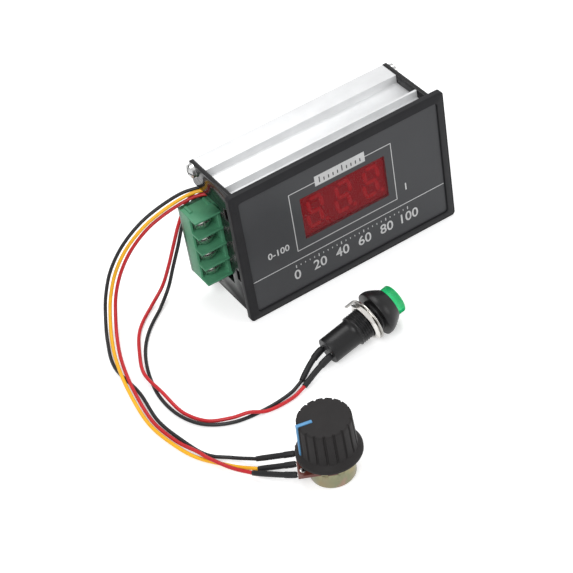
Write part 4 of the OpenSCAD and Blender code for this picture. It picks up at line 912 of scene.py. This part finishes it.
# The housing's meridian, from the open rear end round the outside and back down the inside. The third
# value is 1 on the threaded part.
lip_r, cap_bore, bore, cap_floor = 0.0061, 0.0058, 0.0042, 0.0237
thread_start, thread_steps, eased_by = rear_end + 0.0004, 104, 0.0001
meridian = [(bore, 0.0, 0), (rear_r - 0.0004, 0.0, 0), (rear_r - eased_by, eased_by, 0),
            (rear_r, 0.0004, 0)]
meridian += [(rear_r, s, 0) for s in (0.0025, 0.005, 0.0075, 0.01, rear_end - 0.0003)]
meridian += [(rear_r + 0.0003, rear_end, 0), (thread_r - 0.0003, rear_end + 0.0003, 0)]
meridian += [(thread_r, thread_start + (collar_start - thread_start) * k / thread_steps, 1)
             for k in range(thread_steps + 1)]
shoulder, long = collar_r - lip_r, collar_end - collar_start
meridian += [(collar_r - 0.0005, collar_start, 0), (collar_r - eased_by, collar_start + eased_by, 0)]
meridian += [(lip_r + shoulder * out_by, collar_start + long * up_by, 0) for out_by, up_by in (
    (1, 0.06), (1, 0.22), (0.94, 0.34), (0.82, 0.46), (0.67, 0.58), (0.5, 0.7), (0.33, 0.81),
    (0.16, 0.91), (0.03, 0.985), (0, 1))]
meridian += [(cap_bore + eased_by, collar_end, 0), (cap_bore, collar_end - eased_by, 0),
             (cap_bore, cap_floor, 0), (bore, cap_floor, 0), (bore, 0.0, 0)]
profile = bpy.data.meshes.new("housing_meridian")
profile.from_pydata([(r, mark, s) for r, s, mark in meridian], [], [])
gloss_black = surface("black housing", (0.0085, 0.0085, 0.009), 0.36, drift=0.1, relief=0.05,
                      mirror=0.25)
housing = grown("button_housing", housing_tree(), profile, Around=96, Thread_start=thread_start,
                Thread_end=collar_start - 0.0002, Thread_depth=0.00045, Pitch=0.001,
                Finish=gloss_black)
housing.transform(button_frame)
joined("button_housing_turned", crisp(outward(housing), 50), gloss_black, "button_black",
       "button_housing")
nickel = surface("bright nickel plate", (0.68, 0.665, 0.635), 0.22, metal=1, drift=0.06, grain=700,
                 relief=0)
dull_nickel = surface("dull nickel washer", (0.42, 0.41, 0.39), 0.3, metal=1, grain=700, relief=0)
clear_green = surface("clear green cap", (0.02, 0.62, 0.2), 0.25, drift=0.06, grain=500, relief=0.05)
feed(clear_green.node_tree, clear_green.node_tree.nodes["Principled BSDF"], {
    "Subsurface Weight": 0.3, "Subsurface Radius": (0.2, 1, 0.4), "Subsurface Scale": 0.002})
white_plastic = surface("white acetal plunger", (0.75, 0.75, 0.72), 0.4, drift=0.04)
spring_steel = surface("spring steel", (0.55, 0.55, 0.55), 0.3, metal=1, drift=0.1, grain=2500)


def ring(b, outline, start, sides=96):
    """A closed ring round the housing's axis, with its outline in radius and height for each angle."""
    rings = []
    for n in range(sides):
        angle = math.tau * n / sides
        rings.append([b.verts.new((r * math.cos(angle), r * math.sin(angle), start + d))
                      for r, d in outline(angle)])
    for one, two in zip(rings, rings[1:] + rings[:1]):
        for k in range(len(one)):
            b.faces.new((one[k], two[k], two[(k + 1) % len(one)], one[(k + 1) % len(one)]))


def nut_mesh(across, thick, bore, start):
    """A hexagon nut round the housing's axis, its corners turned down by a cone on both faces."""
    levels, chamfer = 9, 0.0003

    def outline(angle):
        flat = across / 2 / math.cos(angle % (math.tau / 6) - math.tau / 12)
        deep = [thick * k / (2 * levels) for k in range(2 * levels + 1)]
        return [(min(flat, across / 2 * 0.985 + 1.73 * min(d, thick - d)), d) for d in deep] + [
            (bore + chamfer, thick), (bore, thick - chamfer), (bore, chamfer), (bore + chamfer, 0)]

    b = bmesh.new()
    ring(b, outline, start)
    return crisp(outward(plain("button_nut", b)), 24)


def eared_washer(rim, thick, bore, start, ear_w, ear_l, turn):
    """A stamped washer round the housing's axis, with one ear bent down behind it."""
    b, edge = bmesh.new(), 0.00012
    outline = [(bore, 0), (rim - edge, 0), (rim - 0.3 * edge, 0.3 * edge), (rim, edge),
               (rim, thick - edge), (rim - 0.3 * edge, thick - 0.3 * edge), (rim - edge, thick),
               (bore, thick)]
    ring(b, lambda angle: outline, start)
    # The ear: a strip whose middle line runs out of the rim, round a bend and back along the thread
    middle, round_r = thick / 2, thick
    line = [(rim - 0.0007, middle, 0)]
    line += [(rim + middle + round_r * (math.sin(a) - 1), middle + round_r * (math.cos(a) - 1), a)
             for a in (math.pi / 2 * k / 8 for k in range(9))]
    line += [(rim + middle, thick - share * ear_l, math.pi / 2) for share in (0.6, 0.94, 1)]
    rows = []
    for k, (r, d, a) in enumerate(line):
        half = ear_w / 2 * (0.84 if k == len(line) - 1 else 1)
        push = Vector((math.sin(a), 0, math.cos(a))) * middle
        spot = Vector((r, 0, start + d))
        side = Vector((0, half, 0))
        rows.append([spot + push - side, spot + push + side, spot - push + side, spot - push - side])
    spin = Matrix.Rotation(math.radians(turn), 3, "Z")
    rows = [[b.verts.new(spin @ p) for p in row] for row in rows]
    for one, two in zip(rows, rows[1:]):
        for k in range(4):
            b.faces.new((one[k], one[(k + 1) % 4], two[(k + 1) % 4], two[k]))
    b.faces.new(rows[0])
    b.faces.new(rows[-1])
    return crisp(outward(plain("button_washer", b)), 30)


nut = nut_mesh(across=0.014, thick=0.0018, bore=thread_r + 0.00004, start=0.01745)
nut.transform(button_frame)
joined("button_nut_hex", nut, nickel, "nickel_bright", "button_nut")
washer = eared_washer(rim=0.0083, thick=0.0006, bore=thread_r + 0.00004, start=0.0193, ear_w=0.003,
                      ear_l=0.0046, turn=140)
washer.transform(button_frame)
joined("button_washer_eared", washer, dull_nickel, "nickel_bright", "button_washer")
eased("button_cap", 0.0004, clear_green, "cap_green", body="button_cap_and_plunger", steps=3)
eased("button_end_plug", 0.0001, moulded_part, "part_black")
eased("button_terminals", 0.00006, tinned, "contact_tin")
dressed(white_plastic, "button_plunger")
dressed(brass, "button_contact")

# The spring stands on the end plug, 2 mm in, and reaches 3.8 mm up to the contact bar, and the cap's
# travel is 2.5 mm.
# The coil keeps its CAD shape, in a mesh of its own.
coils = plain("button_spring_wound", merged("button_spring"))
spring = joined("button_spring_wound", coils, spring_steel, "steel_bright", "button_spring")
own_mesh(spring)
